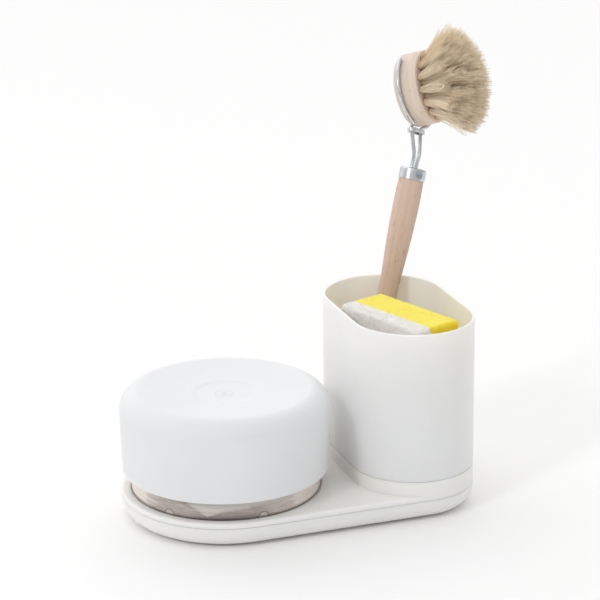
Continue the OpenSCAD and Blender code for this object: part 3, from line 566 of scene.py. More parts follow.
def bristle_tree():
    """Tufts of bent fibres over the source's points, which fan out towards a domed trim."""
    t, i = geometry_tree("tufted bristles", {
        "Fibres per tuft": 95, "Tuft radius": 0.0017, "Fibre radius": 0.00018, "Length": 0.0298,
        "Dome radius": 0.0375, "Spread": 1.63, "Fan": 1.8, "Raggedness": 0.0016, "Taper": 0.75, "Closing": 0.0,
        "Sides": 3, "Points": 6, "Seed": 7})
    tufts = noted(t, t.value("GeometryNodeMeshToPoints", {"Mesh": i["Geometry"]}), "middle",
                  t.value("GeometryNodeInputPosition"))
    kept = t.value("GeometryNodeDuplicateElements", {"Geometry": tufts, "Amount": i["Fibres per tuft"]},
                   domain="POINT")

    # Each fibre's root, tip and the point that it bends towards
    index = t.value("GeometryNodeInputIndex")
    around = chance(t, 0.0, 2 * math.pi, index, i["Seed"])
    out = chance(t, 0.0, 1.0, index, i["Seed"] + 1.0).root() * i["Tuft radius"]
    offset = t.xyz(around.math("COSINE", around) * out, around.math("SINE", around) * out)
    middle = recalled(t, "middle")
    root = middle + offset
    level = (middle.scaled(i["Spread"]) + offset.scaled(i["Fan"])) * (1.0, 1.0, 0.0)
    share = level.length() / i["Dome radius"]
    dome = (1.0 - share * share).most(0.02).root()
    height = i["Length"] * dome * chance(t, 0.93, 1.03, index, i["Seed"] + 4.0)
    stray = astray(t, (1.0, 1.0, 1.0), index, i["Seed"] + 2.0).scaled(i["Raggedness"])
    tip = level + t.xyz(z=height) + stray
    bow = astray(t, (1.0, 1.0, 0.3), index, i["Seed"] + 3.0).scaled(i["Raggedness"])
    mid = root + (tip - root) * (0.36, 0.36, 0.55) + bow
    for name, value in (("root", root), ("mid", mid), ("tip", tip)):
        kept = noted(t, kept, name, value)
    kept = noted(t, kept, "tint", chance(t, 0.0, 1.0, index, i["Seed"] + 5.0), "FLOAT")

    # A short line on every point, drawn out along the bend
    line = t.value("GeometryNodeCurvePrimitiveLine", {"Start": (0.0, 0.0, 0.0), "End": (0.0, 0.0, 0.001)})
    fibre = t.value("GeometryNodeResampleCurve", {"Curve": line, "Count": i["Points"]})
    placed = t.value("GeometryNodeInstanceOnPoints", {"Points": kept, "Instance": fibre})
    real = t.value("GeometryNodeRealizeInstances", {"Geometry": placed})
    along = t.value("GeometryNodeSplineParameter", output="Factor")
    back = 1.0 - along
    place = (recalled(t, "root").scaled(back * back) + recalled(t, "mid").scaled(back * along * 2.0)
             + recalled(t, "tip").scaled(along * along))
    bent = t.value("GeometryNodeSetPosition", {"Geometry": real, "Position": place})
    late = t.span(along, 0.55, 1.0)
    closed = (1.0 - i["Closing"] * (late * late)).root()
    taper = t.span(along, 0.0, 1.0, 1.0, i["Taper"]) * closed
    return finished(t, i, piped(t, noted(t, bent, "along", along, "FLOAT"), i["Sides"], i["Fibre radius"], taper))


def hole_shade_tree():
    """A dark disc for each tuft, painted shade of its drilled hole, standing a hair proud of the head's face."""
    t, i = geometry_tree("tuft hole shade", {"Hole radius": 0.0019, "Proud": 0.00006})
    tufts = t.value("GeometryNodeMeshToPoints", {"Mesh": i["Geometry"]})
    disc = t.value("GeometryNodeMeshCylinder", {"Vertices": 18, "Radius": i["Hole radius"], "Depth": i["Proud"] * 2.0})
    return finished(t, i, t.value("GeometryNodeInstanceOnPoints", {"Points": tufts, "Instance": disc}))


def matted_tree():
    """Short curled fibres lying over the source's faces."""
    t, i = geometry_tree("matted fibres", {
        "Least distance": 0.0016, "Most per square metre": 300000.0, "Fibre length": 0.0032,
        "Fibre radius": 0.00009, "Seed": 3})
    points = t.values("GeometryNodeDistributePointsOnFaces", {
        "Mesh": i["Geometry"], "Distance Min": i["Least distance"], "Density Max": i["Most per square metre"],
        "Seed": i["Seed"]}, distribute_method="POISSON")
    curl = t.value("GeometryNodeCurvePrimitiveBezierSegment", {
        "Resolution": 4, "Start": (-0.5, 0.0, 0.0), "Start Handle": (-0.2, 0.22, 0.14),
        "End Handle": (0.2, -0.22, 0.14), "End": (0.5, 0.0, 0.0)})
    index = t.value("GeometryNodeInputIndex")
    spin = t.xyz(z=chance(t, 0.0, 2 * math.pi, index, i["Seed"] + 1.0))
    turned = t.value("FunctionNodeRotateRotation", {
        "Rotation": points["Rotation"], "Rotate By": t.value("FunctionNodeEulerToRotation", {0: spin})},
        rotation_space="LOCAL")
    size = i["Fibre length"] * chance(t, 0.6, 1.2, index, i["Seed"] + 2.0)
    placed = t.value("GeometryNodeInstanceOnPoints", {
        "Points": points["Points"], "Instance": curl, "Rotation": turned, "Scale": t.xyz(size, size, size)})
    real = t.value("GeometryNodeRealizeInstances", {"Geometry": placed})
    return finished(t, i, piped(t, real, 3, i["Fibre radius"]))


# Finishes

def srgb(red, green, blue):
    """A colour given as it shows on a screen, from 0 to 255, as the shaders want it."""
    def linear(c):
        c = c / 255
        return c / 12.92 if c <= 0.04045 else ((c + 0.055) / 1.055) ** 2.4
    return (linear(red), linear(green), linear(blue), 1.0)


def finish_of(name, **plain):
    """A new material with one shader; plain holds the numbers that are the same all over."""
    material = bpy.data.materials.new(name)
    material.use_nodes = True
    material.node_tree.nodes.clear()
    t = Tree(material.node_tree)
    shader = t.add("ShaderNodeBsdfPrincipled", {key.replace("_", " "): value for key, value in plain.items()})
    t.add("ShaderNodeOutputMaterial", {"Surface": Value(t, shader.outputs[0])})
    return material, t, shader.inputs


def here(t, place=None):
    """Object coordinates, or those of a piece's own frame."""
    vector = t.value("ShaderNodeTexCoord", output="Object")
    if place is None:
        return vector
    return t.value("ShaderNodeMapping", {"Vector": vector, "Location": place.to_translation(),
                                         "Rotation": place.to_euler()}, vector_type="TEXTURE")


def effect_of(t, name, place=None, **values):
    """A shared effect, built the first time, in a piece's frame."""
    group = bpy.data.node_groups.get(name) or EFFECTS[name](name)
    values = {key.replace("_", " "): value for key, value in values.items()}
    return t.values("ShaderNodeGroup", {"Vector": here(t, place), **values}, node_tree=group)


def join(t, shader, effect, bump, depth=0.0001, colour=None):
    """Feeds an effect's colour, roughness and height to the shader."""
    t.put(shader["Base Color"], colour or effect["Color"])
    t.put(shader["Roughness"], effect["Roughness"])
    t.put(shader["Normal"], t.value("ShaderNodeBump", {"Strength": bump, "Distance": depth,
                                                       "Height": effect["Height"]}))


def moulded(name, body, shade, low=0.38, high=0.5, grain=1600.0, bump=0.12, **plain):
    """Moulded plastic, rubber or paper; low and high are its least and greatest roughness."""
    material, t, shader = finish_of(name, **plain)
    join(t, shader, effect_of(t, "moulded plastic", Body=body, Shade=shade, Grain_per_metre=grain,
                              Low_roughness=low, High_roughness=high), bump)
    return material


def turned_wood(name, place, pale, deep, fleck, amount, band):
    """Turned beech whose grain runs along Z of the place; band is the growth bands' width in metres."""
    material, t, shader = finish_of(name, Coat_Weight=0.06, Coat_Roughness=0.45)
    join(t, shader, effect_of(t, "turned beech", place, Pale=pale, Deep=deep, Fleck=fleck, Fleck_amount=amount,
                              Band_width=band), 0.25, 0.00012)
    return material


def galvanised(name, place, bright, dull, low=0.22, high=0.42, punch_shade=None):
    """The last argument is a point, in the piece's own frame, round which the zinc is painted darker: painted shade in
    the punch mark's dent.
    """
    material, t, shader = finish_of(name, Metallic=1.0)
    effect = effect_of(t, "galvanised steel", place, Bright=bright, Dull=dull, Low_roughness=low,
                       High_roughness=high)
    # Painted dark reflection: the metal is darker where it is seen edge on
    edge = t.value("ShaderNodeLayerWeight", {"Blend": 0.5}, "Facing")
    colour = t.blend(t.span(edge, 0.35, 1.0, 0.0, 0.6), effect["Color"], (0.22, 0.25, 0.27, 1.0))
    # Painted shade in the punch mark's dent
    if punch_shade is not None:
        gone = t.value("ShaderNodeVectorMath", {0: here(t, place), 1: punch_shade}, "Value", operation="DISTANCE")
        colour = t.blend(t.span(gone, 0.0032, 0.0012) * t.span(gone, 0.0003, 0.0008, 0.0, 0.65), colour,
                         (0.16, 0.2, 0.23, 1.0))
    join(t, shader, effect, 0.12, colour=colour)
    return material


def open_cells(name, skin, pore, cell, bump=0.5, cut=None):
    """The last argument is what the colour is multiplied by on the sponge's two end faces: painted shade there."""
    material, t, shader = finish_of(name, Sheen_Weight=0.15, Sheen_Roughness=0.6)
    effect = effect_of(t, "open cells", SPONGE, Skin=skin, Pore=pore, Cell_size=cell)
    colour = effect["Color"]
    if cut is not None:
        # Painted shade on the sponge's two end faces
        _, across, _ = t.axes(here(t, SPONGE))
        end = t.span(abs(across), SPONGE_W / 2 - 0.0024, SPONGE_W / 2 - 0.0008)
        colour = t.blend(end, colour, t.blend(1.0, colour, cut, "MULTIPLY"))
    join(t, shader, effect, bump, 0.0006, colour)
    return material


def cup_finish(look):
    """The cup's plastic, painted warmer on its inside: painted bounce light held between the walls."""
    material, t, shader = finish_of("cup plastic", Subsurface_Weight=0.6, Subsurface_Radius=(1.0, 0.85, 0.7),
                                    Subsurface_Scale=0.005)
    effect = effect_of(t, "moulded plastic", Body=look.body, Shade=look.shade, Low_roughness=look.gloss,
                       High_roughness=look.gloss + 0.1, Grain_per_metre=1600.0)
    x, y, z = t.axes(here(t))
    aside, ahead = x - CUP_PITCH, (abs(y) - CUP_END_OFF).most(0.0)
    out = (aside * aside + ahead * ahead).root()
    # Mask of the cup's inside, which takes the warm colour of painted bounce light
    inside = (t.span(out, CUP_HALF_W - 0.0005, CUP_HALF_W - 0.0011)
              * t.span(z, CUP_FLOOR - 0.001, CUP_FLOOR))
    join(t, shader, effect, 0.1, colour=t.blend(inside, effect["Color"], look.inside))
    return material


def clear_finish(look):
    """Clear smoky plastic with painted light and shade of what is inside it, denser where it is seen edge on."""
    material, t, shader = finish_of("jar clear plastic", IOR=1.49)
    effect = effect_of(t, "jar with painted light and shade", Clear=look.clear, Smoke=look.smoke_and_shade, Soap=look.refraction_tint)
    join(t, shader, effect, 0.3, 0.0003)
    edge = t.value("ShaderNodeLayerWeight", {"Blend": 0.35}, "Facing")
    t.put(shader["Alpha"], (effect["Density"] + t.span(edge, 0.0, 1.0, -0.1, 0.3)).clamped())
    return material


def bristle_finish(look):
    """Natural fibre: each one has its own tint, and is painted darker and browner at its root: painted shade near the
    head.
    """
    material, t, shader = finish_of("bristle fibre", Sheen_Weight=1.0, Sheen_Roughness=0.8,
                                    Sheen_Tint=(1.0, 0.92, 0.78, 1.0))
    tint, along = (t.value("ShaderNodeAttribute", output="Fac", attribute_name=name) for name in ("tint", "along"))
    streak = t.noise(here(t, HEAD) * (1.0, 1.0, 0.3), 900.0, 2.0)
    tone = (tint * 0.75 + streak * 0.35).clamped()
    body = t.blend(tone, look.pale, look.deep)
    # The roots are painted darker: painted shade near the head
    t.put(shader["Base Color"], t.blend(t.span(along, 0.3, 0.0), body, t.blend(1.0, body, look.root, "MULTIPLY")))
    t.put(shader["Roughness"], t.span(tone, 0.0, 1.0, 0.5, 0.72))
    t.put(shader["Normal"], t.value("ShaderNodeBump", {"Strength": 0.5, "Distance": 0.00008, "Height": streak}))
    return material


# Sizes and colours that a user would change

def tint(name, text, default):
    """A property that holds a colour."""
    return bpy.props.FloatVectorProperty(name=name, description=text, subtype="COLOR", size=4, min=0.0, max=1.0,
                                         default=default)


def length(name, text, default, low, high):
    """A property that holds a length in metres."""
    return bpy.props.FloatProperty(name=name, description=text, subtype="DISTANCE", unit="LENGTH", precision=5,
                                   default=default, min=low, max=high)


def share(name, text, default):
    """A property that holds a share from 0 to 1."""
    return bpy.props.FloatProperty(name=name, description=text, subtype="FACTOR", default=default, min=0.0, max=1.0)


class CADDY_PG_plastic(bpy.types.PropertyGroup):
    body: tint("Body", "Colour of the tray and the cup", srgb(244, 242, 239))
    shade: tint("Body shade", "Second colour of the faint clouding in the tray and the cup", srgb(240, 239, 236))
    cap: tint("Cap", "Colour of the press cap", srgb(232, 233, 235))
    cap_shade: tint("Cap shade", "Second colour of the faint clouding in the cap", srgb(229, 230, 232))
    # The cup's inside colour is painted warm bounce light
    inside: tint("Cup inside", "Warm colour of the cup's inside", srgb(254, 251, 247))
    clear: tint("Jar", "Colour of the clear smoky jar", srgb(244, 234, 224))
    # Jar depths is the smoky tint and also painted shade of the dark inside
    smoke_and_shade: tint("Jar depths", "Colour of the jar where one looks deepest into it", srgb(186, 174, 167))
    # Soap film is the colour of painted light: the refraction wedge, its line and the feet's fill
    refraction_tint: tint("Soap film", "Colour of the soap inside the jar", srgb(240, 233, 226))
    gloss: share("Roughness", "Least roughness of the tray and the cup", 0.36)
    cap_gloss: share("Cap roughness", "Least roughness of the cap", 0.46)


class CADDY_PG_brush(bpy.types.PropertyGroup):
    pale: tint("Handle pale", "Pale tone of the handle's wood", srgb(221, 195, 178))
    deep: tint("Handle deep", "Deep tone of the handle's wood", srgb(200, 170, 150))
    fleck: tint("Fleck", "Colour of the wood's short ray flecks", srgb(146, 106, 84))
    head_pale: tint("Head pale", "Pale tone of the head's wood", srgb(232, 217, 204))
    head_deep: tint("Head deep", "Deep tone of the head's wood", srgb(216, 194, 179))
    bright: tint("Metal bright", "Bright tone of the galvanised wire and ferrule", (0.74, 0.77, 0.79, 1.0))
    dull: tint("Metal dull", "Dull tone of the galvanised wire and ferrule", (0.42, 0.45, 0.47, 1.0))
    punch: bpy.props.FloatProperty(name="Punch mark", default=-28.0, min=-180.0, max=180.0,
                                   description="Where the ferrule's punch mark is, in degrees round it")
    wire: length("Wire radius", "Radius of the wire round the head", WIRE_R, 0.0008, 0.0012)


class CADDY_PG_bristles(bpy.types.PropertyGroup):
    fibres: bpy.props.IntProperty(name="Fibres per tuft", description="Number of fibres in one tuft",
                                  default=96, min=20, max=160)
    fibre: length("Fibre radius", "Radius of one fibre at its root", 0.00015, 0.0001, 0.0004)
    long: length("Length", "Length of the middle fibres", 0.0298, 0.026, 0.036)
    spread: bpy.props.FloatProperty(name="Spread", description="How much wider the tips stand than the tufts' roots",
                                    default=1.63, min=1.0, max=2.0)
    ragged: length("Raggedness", "How far a fibre's tip strays", 0.0018, 0.0, 0.003)
    seed: bpy.props.IntProperty(name="Seed", description="Seed of the fibres' random places", default=7, min=0)
    pale: tint("Pale", "Pale tone of the fibres", srgb(255, 246, 230))
    deep: tint("Deep", "Deep tone of the fibres", srgb(255, 228, 184))
    # Darkening the roots is painted shade near the head
    root: tint("Root", "Colour that the fibres' roots are multiplied by", (0.9, 0.76, 0.58, 1.0))


class CADDY_PG_sponge(bpy.types.PropertyGroup):
    skin: tint("Foam", "Colour of the foam", srgb(255, 240, 84))
    # Foam pores and Scourer depths colour the hollows: painted shade in the pores and between the fibres
    pore: tint("Foam pores", "Colour inside the foam's pores", srgb(250, 216, 16))
    # The end faces' colour is painted shade
    cut: tint("Cut ends", "Colour that the foam's is multiplied by on its cut ends", (1.0, 0.88, 0.2, 1.0))
    fibre: tint("Scourer", "Colour of the scouring layer", srgb(254, 252, 247))
    fibre_deep: tint("Scourer depths", "Colour between the scouring layer's fibres", srgb(248, 242, 230))
    cell: length("Cell size", "Size of the foam's larger pores", 0.0012, 0.0006, 0.003)
    corner: length("Corner radius", "Radius of the sponge's corners", 0.0025, 0.001, 0.004)
    grid: length("Grid", "Distance between the points of the sponge's surface", 0.0009, 0.0006, 0.003)


class CADDY_PG_stage(bpy.types.PropertyGroup):
    floor: tint("Floor", "Colour of the floor", (0.965, 0.965, 0.963, 1.0))
    room: tint("Room light", "Light from all round", (0.29, 0.285, 0.28, 1.0))
    ceiling: tint("Ceiling light", "What the ceiling adds overhead", (0.64, 0.65, 0.665, 1.0))
    backdrop: tint("Backdrop light", "What the backdrop adds behind the caddy", (0.95, 0.94, 0.92, 1.0))
    left: tint("Left light", "What the left side adds", (0.04, 0.04, 0.04, 1.0))
    front: tint("Front light", "What the room adds on the viewer's side", (0.18, 0.18, 0.175, 1.0))
    window: tint("Window colour", "Colour of the soft light from the left and front", (1.0, 0.99, 0.98, 1.0))
    key: bpy.props.FloatProperty(name="Window light", description="Power of the soft light from the left and front",
                                 default=22.0, min=0.0, max=200.0, unit="POWER")
    width: length("Window width", "Width of the soft light", 0.6, 0.1, 4.0)


# Operators

def plain_plastic(look, name, **more):
    """Plastic in the colours that the tray and the cup share."""
    return moulded(name, look.body, look.shade, look.gloss, look.gloss + 0.1, **more)


class CADDY_OT_tray(bpy.types.Operator):
    """Finish the tray's lower shell, its deck and its foot pads"""
    bl_idname = "caddy.tray"
    bl_label = "Tray"

    def execute(self, context):
        look = context.scene.caddy_plastic
        white = plain_plastic(look, "tray plastic", Subsurface_Weight=0.4, Subsurface_Radius=(1.0, 0.8, 0.6),
                              Subsurface_Scale=0.003)
        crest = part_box("tray_deck")[1].z - 1e-5
        dressed("tray_base", "tray_shell", white)
        dressed("tray_deck", "tray_top", white, soften=lambda a, b: min(a.z, b.z) > crest, radius=0.00035)
        dressed("foot_pads", "tray_pads",
                moulded("pad rubber", srgb(206, 205, 202), srgb(196, 195, 192), 0.7, 0.85, 2600.0, 0.3))
        return {"FINISHED"}


class CADDY_OT_jar(bpy.types.Operator):
    """Finish the clear jar and its small feet"""
    bl_idname = "caddy.jar"
    bl_label = "Jar"

    def execute(self, context):
        look = context.scene.caddy_plastic
        dressed("jar", "clear_jar", clear_finish(look), angle=30.0)
        dressed("jar_feet", "clear_jar_feet",
                moulded("jar foot rubber", srgb(216, 215, 212), srgb(206, 205, 202), 0.5, 0.65, 2200.0, 0.2))
        return {"FINISHED"}


class CADDY_OT_pump(bpy.types.Operator):
    """Finish the pump's lid, cylinder, valve and piston"""
    bl_idname = "caddy.pump"
    bl_label = "Pump"

    def execute(self, context):
        look = context.scene.caddy_plastic
        white = plain_plastic(look, "pump plastic")
        milky = moulded("pump milky plastic", srgb(222, 226, 228), srgb(212, 217, 220), 0.3, 0.42, 1400.0, 0.08)
        seal = moulded("seal rubber", srgb(206, 206, 204), srgb(192, 192, 190), 0.6, 0.75, 2400.0, 0.25)
        dark = moulded("piston rubber", srgb(64, 64, 66), srgb(52, 52, 54), 0.55, 0.7, 2400.0, 0.25)
        ball = moulded("ball glass", srgb(176, 196, 206), srgb(164, 184, 196), 0.08, 0.14, 900.0, 0.02,
                       Coat_Weight=0.5)
        for node, name, material, angle in (
                ("pump_lid", "pump_lid_ring", white, 30.0), ("pump_cylinder", "pump_barrel", milky, 30.0),
                ("valve_cage", "pump_cage", milky, 30.0), ("piston", "pump_piston", white, 30.0),
                ("lid_seal", "pump_lid_cord", seal, 60.0), ("piston_seal", "pump_piston_cord", dark, 60.0),
                ("check_ball", "pump_ball", ball, 60.0)):
            dressed(node, name, material, angle)
        return {"FINISHED"}


class CADDY_OT_spring(bpy.types.Operator):
    """Wind the pump's return spring"""
    bl_idname = "caddy.spring"
    bl_label = "Return spring"

    def execute(self, context):
        low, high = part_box("return_spring")
        wire = 0.0007
        steel = galvanised("spring steel", None, (0.66, 0.66, 0.66, 1.0), (0.5, 0.5, 0.51, 1.0), 0.18, 0.3)
        spring = grown("coil_spring", chain("spring_start", []), coil_tree(), {
            "Wire radius": wire, "Coil radius": (high.x - low.x) / 2 - wire, "Height": high.z - low.z - 2 * wire,
            "Material": steel}, Matrix.Translation((0.0, 0.0, low.z + wire)), 80.0)
        settle(spring, "return_spring", steel)
        stroke = next(joint["range_m"][1] for joint in frame["joints"] if joint["name"] == "press")
        1.0 - stroke / (high.z - low.z)
        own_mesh(spring)
        return {"FINISHED"}


def cap_height(r):
    """Height of the cap's top surface at a radius: a wide bowl with a flat hollow round the nozzle."""
    bowl = BOWL_DEPTH * (1 - min(r / CAP_DISH, 1.0) ** 2)
    hollow = HOLLOW_DEPTH * (1 - math.cos(math.pi * min(max((HOLLOW_R - r) / HOLLOW_EDGE, 0.0), 1.0))) / 2
    return CAP_TOP - bowl - hollow


class CADDY_OT_cap(bpy.types.Operator):
    """Turn the press cap and its nozzle, and finish the carrier under it"""
    bl_idname = "caddy.cap"
    bl_label = "Press cap"

    def execute(self, context):
        look = context.scene.caddy_plastic
        white = moulded("cap plastic", look.cap, look.cap_shade, look.cap_gloss, look.cap_gloss + 0.08, 2400.0, 0.16)
        foot, hole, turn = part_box("press_cap")[0].z, NOZZLE_HOLE, CAP_TOP - CAP_SHOULDER
        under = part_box("cap_carrier")[1].z + 0.00005
        rounding = hole + 0.0003 - CAP_DISH
        profile = [(0.0543, foot), (0.05495, foot + 0.00008), (0.0553, foot + 0.0004), (0.0554, foot + 0.0009)]
        profile += arc(CAP_DISH, turn, CAP_SHOULDER, 0, 3, 31)
        profile += [(r, cap_height(r)) for r in (CAP_DISH + rounding * k / 60 for k in range(1, 61))]
        profile += [(hole, cap_height(hole) - 0.0003)]
        profile += [(r, max(cap_height(r) - CAP_WALL, under))
                    for r in (hole + (CAP_DISH - hole) * k / 40 for k in range(40))]
        profile += arc(CAP_DISH, turn, CAP_SHOULDER - CAP_WALL, 90, -5, 19)
        profile += [(0.0532, foot + 0.0005), (0.0535, foot)]
        settle(lathe("cap_shell", profile + profile[:1], 192, Matrix()), "press_cap", white)

        soft = moulded("nozzle silicone", srgb(230, 231, 231), srgb(226, 227, 227), 0.5, 0.62, 2200.0, 0.15)
        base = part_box("nozzle")[0].z
        rim, edge, flange = hole - 0.00004, 0.00018, 0.007
        crown = cap_height(hole) - 0.00005
        profile = [(0.0, base), (flange, base), (flange, under), (rim, under)]
        profile += arc(rim - edge, crown - edge, edge, 0, 15, 7)
        profile += [(0.0034, crown + 0.00012), (0.0016, crown + 0.00018), (0.0009, crown + 0.0001),
                    (0.0006, crown - 0.0003), (0.0, crown - 0.0005)]
        settle(lathe("cap_nozzle", profile, 96, Matrix(), 40.0), "nozzle", soft)
        dressed("cap_carrier", "cap_frame", plain_plastic(look, "carrier plastic"), angle=30.0)
        return {"FINISHED"}


class CADDY_OT_cup(bpy.types.Operator):
    """Finish the tall cup"""
    bl_idname = "caddy.cup"
    bl_label = "Cup"

    def execute(self, context):
        dressed("cup", "tall_cup", cup_finish(context.scene.caddy_plastic), angle=32.0)
        return {"FINISHED"}


# Places up the handle and the handle's thickness there, as shares of its length and thickness
HANDLE_SHARES = ((0.055, 0.78), (0.1, 0.815), (0.2, 0.83), (0.32, 0.815), (0.45, 0.775), (0.56, 0.76), (0.63, 0.79),
                 (0.72, 0.895), (0.81, 0.965), (0.87, 0.99), (0.92, 1.0), (0.96, 0.99), (1.0, 0.96))


def smooth_through(points, steps):
    """Points of a curve that passes through the given ones."""
    made = []
    for k in range(len(points) - 1):
        a, b, c, d = (np.array(points[min(max(k + j, 0), len(points) - 1)]) for j in (-1, 0, 1, 2))
        for s in range(steps):
            u = s / steps
            made.append(tuple(0.5 * (2 * b + (c - a) * u + (2 * a - 5 * b + 4 * c - d) * u * u
                                     + (3 * b - 3 * c + d - a) * u ** 3)))
    return made + [tuple(points[-1])]


class CADDY_OT_handle(bpy.types.Operator):
    """Turn the brush's wooden handle and its ferrule"""
    bl_idname = "caddy.handle"
    bl_label = "Brush handle"

    def execute(self, context):
        look = context.scene.caddy_brush
        wood = turned_wood("handle beech", BRUSH, look.pale, look.deep, look.fleck, 0.75, 0.0032)
        end = 0.78 * HANDLE_R
        side = smooth_through([(end, end)] + [(s * HANDLE_R, z * HANDLE_L) for z, s in HANDLE_SHARES], 6)[1:]
        top = [(0.93 * HANDLE_R, HANDLE_L + 0.0004), (0.0, HANDLE_L + 0.0004)]
        handle = lathe("wooden_handle", arc(0.0, end, end, -90, 7.5, 13) + side + top, 72, BRUSH)
        settle(handle, "brush_handle", wood)

        wide, high, edge = HANDLE_R + 0.0001, HANDLE_L + FERRULE_H, 0.0014
        toward = math.radians(look.punch)
        outward = Vector((math.cos(toward), math.sin(toward), 0.0))
        punch = Vector((wide * math.cos(toward), wide * math.sin(toward), HANDLE_L + 0.0036))
        # The ferrule's zinc is painted darker round the punch mark: painted shade in its dent
        zinc = galvanised("ferrule zinc", BRUSH, look.bright, look.dull, punch_shade=punch)
        profile = [(0.0, HANDLE_L + 0.0001), (wide - 0.0003, HANDLE_L + 0.0001), (wide, HANDLE_L + 0.0003)]
        profile += [(wide, HANDLE_L + 0.0008 + 0.00024 * k) for k in range(20)]
        profile += arc(wide - edge, high - edge, edge, 0, 10, 10) + [(0.0, high)]
        ferrule = lathe("ferrule_cup", profile, 160, BRUSH)
        dip, spread = 0.0008, 0.0011
        inward = BRUSH.inverted()
        for vertex in ferrule.data.vertices:
            point = inward @ vertex.co
            near = math.exp(-((point - punch).length / spread) ** 2)
            vertex.co = BRUSH @ (point - dip * near * outward)
        settle(ferrule, "handle_ferrule", zinc)
        return {"FINISHED"}


def wire_path():
    """Middle line of the wire, in the brush's frame: up round the head, down into the handle and up again."""
    bristle_way = Vector((math.sin(HEAD_ANGLE), 0.0, math.cos(HEAD_ANGLE)))
    head_up = Vector((-math.cos(HEAD_ANGLE), 0.0, math.sin(HEAD_ANGLE)))
    side = Vector((0.0, 1.0, 0.0))
    middle = HEAD_BACK + WRAP_UP * bristle_way
    lean = math.radians(15.0)
    slide = Vector((math.sin(lean), -0.17, -math.cos(lean))).normalized()
    at_ring = Vector((-0.0033, 0.0054, HANDLE_L + 0.0275))
    low, high = at_ring + 0.011 * slide, at_ring - 0.0012 * slide
    inside, bottom = 0.0025, HANDLE_L - 0.014
    entry = Vector((0.0, inside, HANDLE_L + FERRULE_H + 0.0016))

    def wrap(a):
        return middle + WRAP_R * (math.sin(a) * side - math.cos(a) * head_up)

    def bend(a, b, c, d, count):
        return [(1 - u) ** 3 * a + 3 * (1 - u) ** 2 * u * b + 3 * (1 - u) * u * u * c + u ** 3 * d
                for u in (k / count for k in range(count + 1))]

    first = math.radians(24.0)
    start = wrap(first)
    way = math.cos(first) * side + math.sin(first) * head_up
    arm = [wrap(math.radians(a)) for a in np.arange(133.0, 26.0, -3.5)]
    arm += bend(start, start - 0.0016 * way, high - 0.0016 * slide, high, 8)
    arm += bend(low, low + 0.004 * slide, entry + Vector((0.0, 0.0, 0.004)), entry, 12)
    turn = [Vector((0.0, inside * math.cos(a), bottom - inside * math.sin(a)))
            for a in (math.radians(15 * k) for k in range(13))]
    return arm + turn + [Vector((p.x, -p.y, p.z)) for p in reversed(arm)]


class CADDY_OT_wires(bpy.types.Operator):
    """Bend the brush's wire and finish the ring that holds it"""
    bl_idname = "caddy.wires"
    bl_label = "Brush wire"

    def execute(self, context):
        look = context.scene.caddy_brush
        zinc = galvanised("wire zinc", BRUSH, look.bright, look.dull, 0.18, 0.36)
        path = wire_path()
        line = chain("wire_line", path, zip(range(len(path) - 1), range(1, len(path))))
        wire = grown("bent_wire", line, wire_tree(), {"Wire radius": look.wire, "Sides": 16, "Material": zinc},
                     BRUSH, 60.0)
        settle(wire, "wire_fork", zinc)
        ring = galvanised("ring zinc", BRUSH, look.bright, look.dull, 0.24, 0.4)
        dressed("clamp_ring", "slide_ring", ring, soften=lambda a, b: True, radius=0.0002)
        return {"FINISHED"}


def tuft_points():
    """Middles of the tufts on the head's face, in rings."""
    points = [(0.0, 0.0, 0.0)]
    for radius, count, turn in ((0.0044, 4, 20.0), (0.0086, 8, 5.0), (0.0129, 11, 12.0), (0.0171, 15, 0.0)):
        for k in range(count):
            a = math.radians(turn) + 2 * math.pi * k / count
            points.append((radius * math.cos(a), radius * math.sin(a), 0.0))
    return points


class CADDY_OT_head(bpy.types.Operator):
    """Turn the brush's wooden head and lay dark discs of painted shade where its holes are"""
    bl_idname = "caddy.head"
    bl_label = "Brush head"

    def execute(self, context):
        look = context.scene.caddy_brush
        wood = turned_wood("head beech", HEAD @ Matrix.Rotation(math.radians(90), 4, "Y"), look.head_pale,
                           look.head_deep, look.fleck, 0.4, 0.0026)
        dome, back, edge, groove = 0.0016, 0.0026, 0.0011, 0.0015
        crown = HEAD_R - back
        profile = [(crown * k / 12, -dome * (1 - (k / 12) ** 2)) for k in range(12)]
        profile += [(crown - 0.0006, -0.00012), (crown - 0.0003, 0.0001)]
        profile += arc(crown, back, back, -81, 9, 10)
        profile += arc(WRAP_R, WRAP_UP, groove, 213, -11, 7)
        profile += [(HEAD_R, HEAD_THICK - edge), (HEAD_R - 0.32 * edge, HEAD_THICK - 0.32 * edge),
                    (HEAD_R - edge, HEAD_THICK), (0.0, HEAD_THICK)]
        settle(lathe("wooden_head", profile, 96, HEAD, 30.0), "brush_head", wood)
        # The holes' dark wood is painted shade
        dark = turned_wood("hole shade wood", HEAD, srgb(104, 72, 48), srgb(72, 48, 32), srgb(48, 30, 20), 0.6, 0.002)
        holes = grown("tuft_hole_shade", chain("hole_points", tuft_points()), hole_shade_tree(), {"Material": dark},
                      HEAD_FACE, 30.0)
        attend(holes, "brush_head")
        return {"FINISHED"}


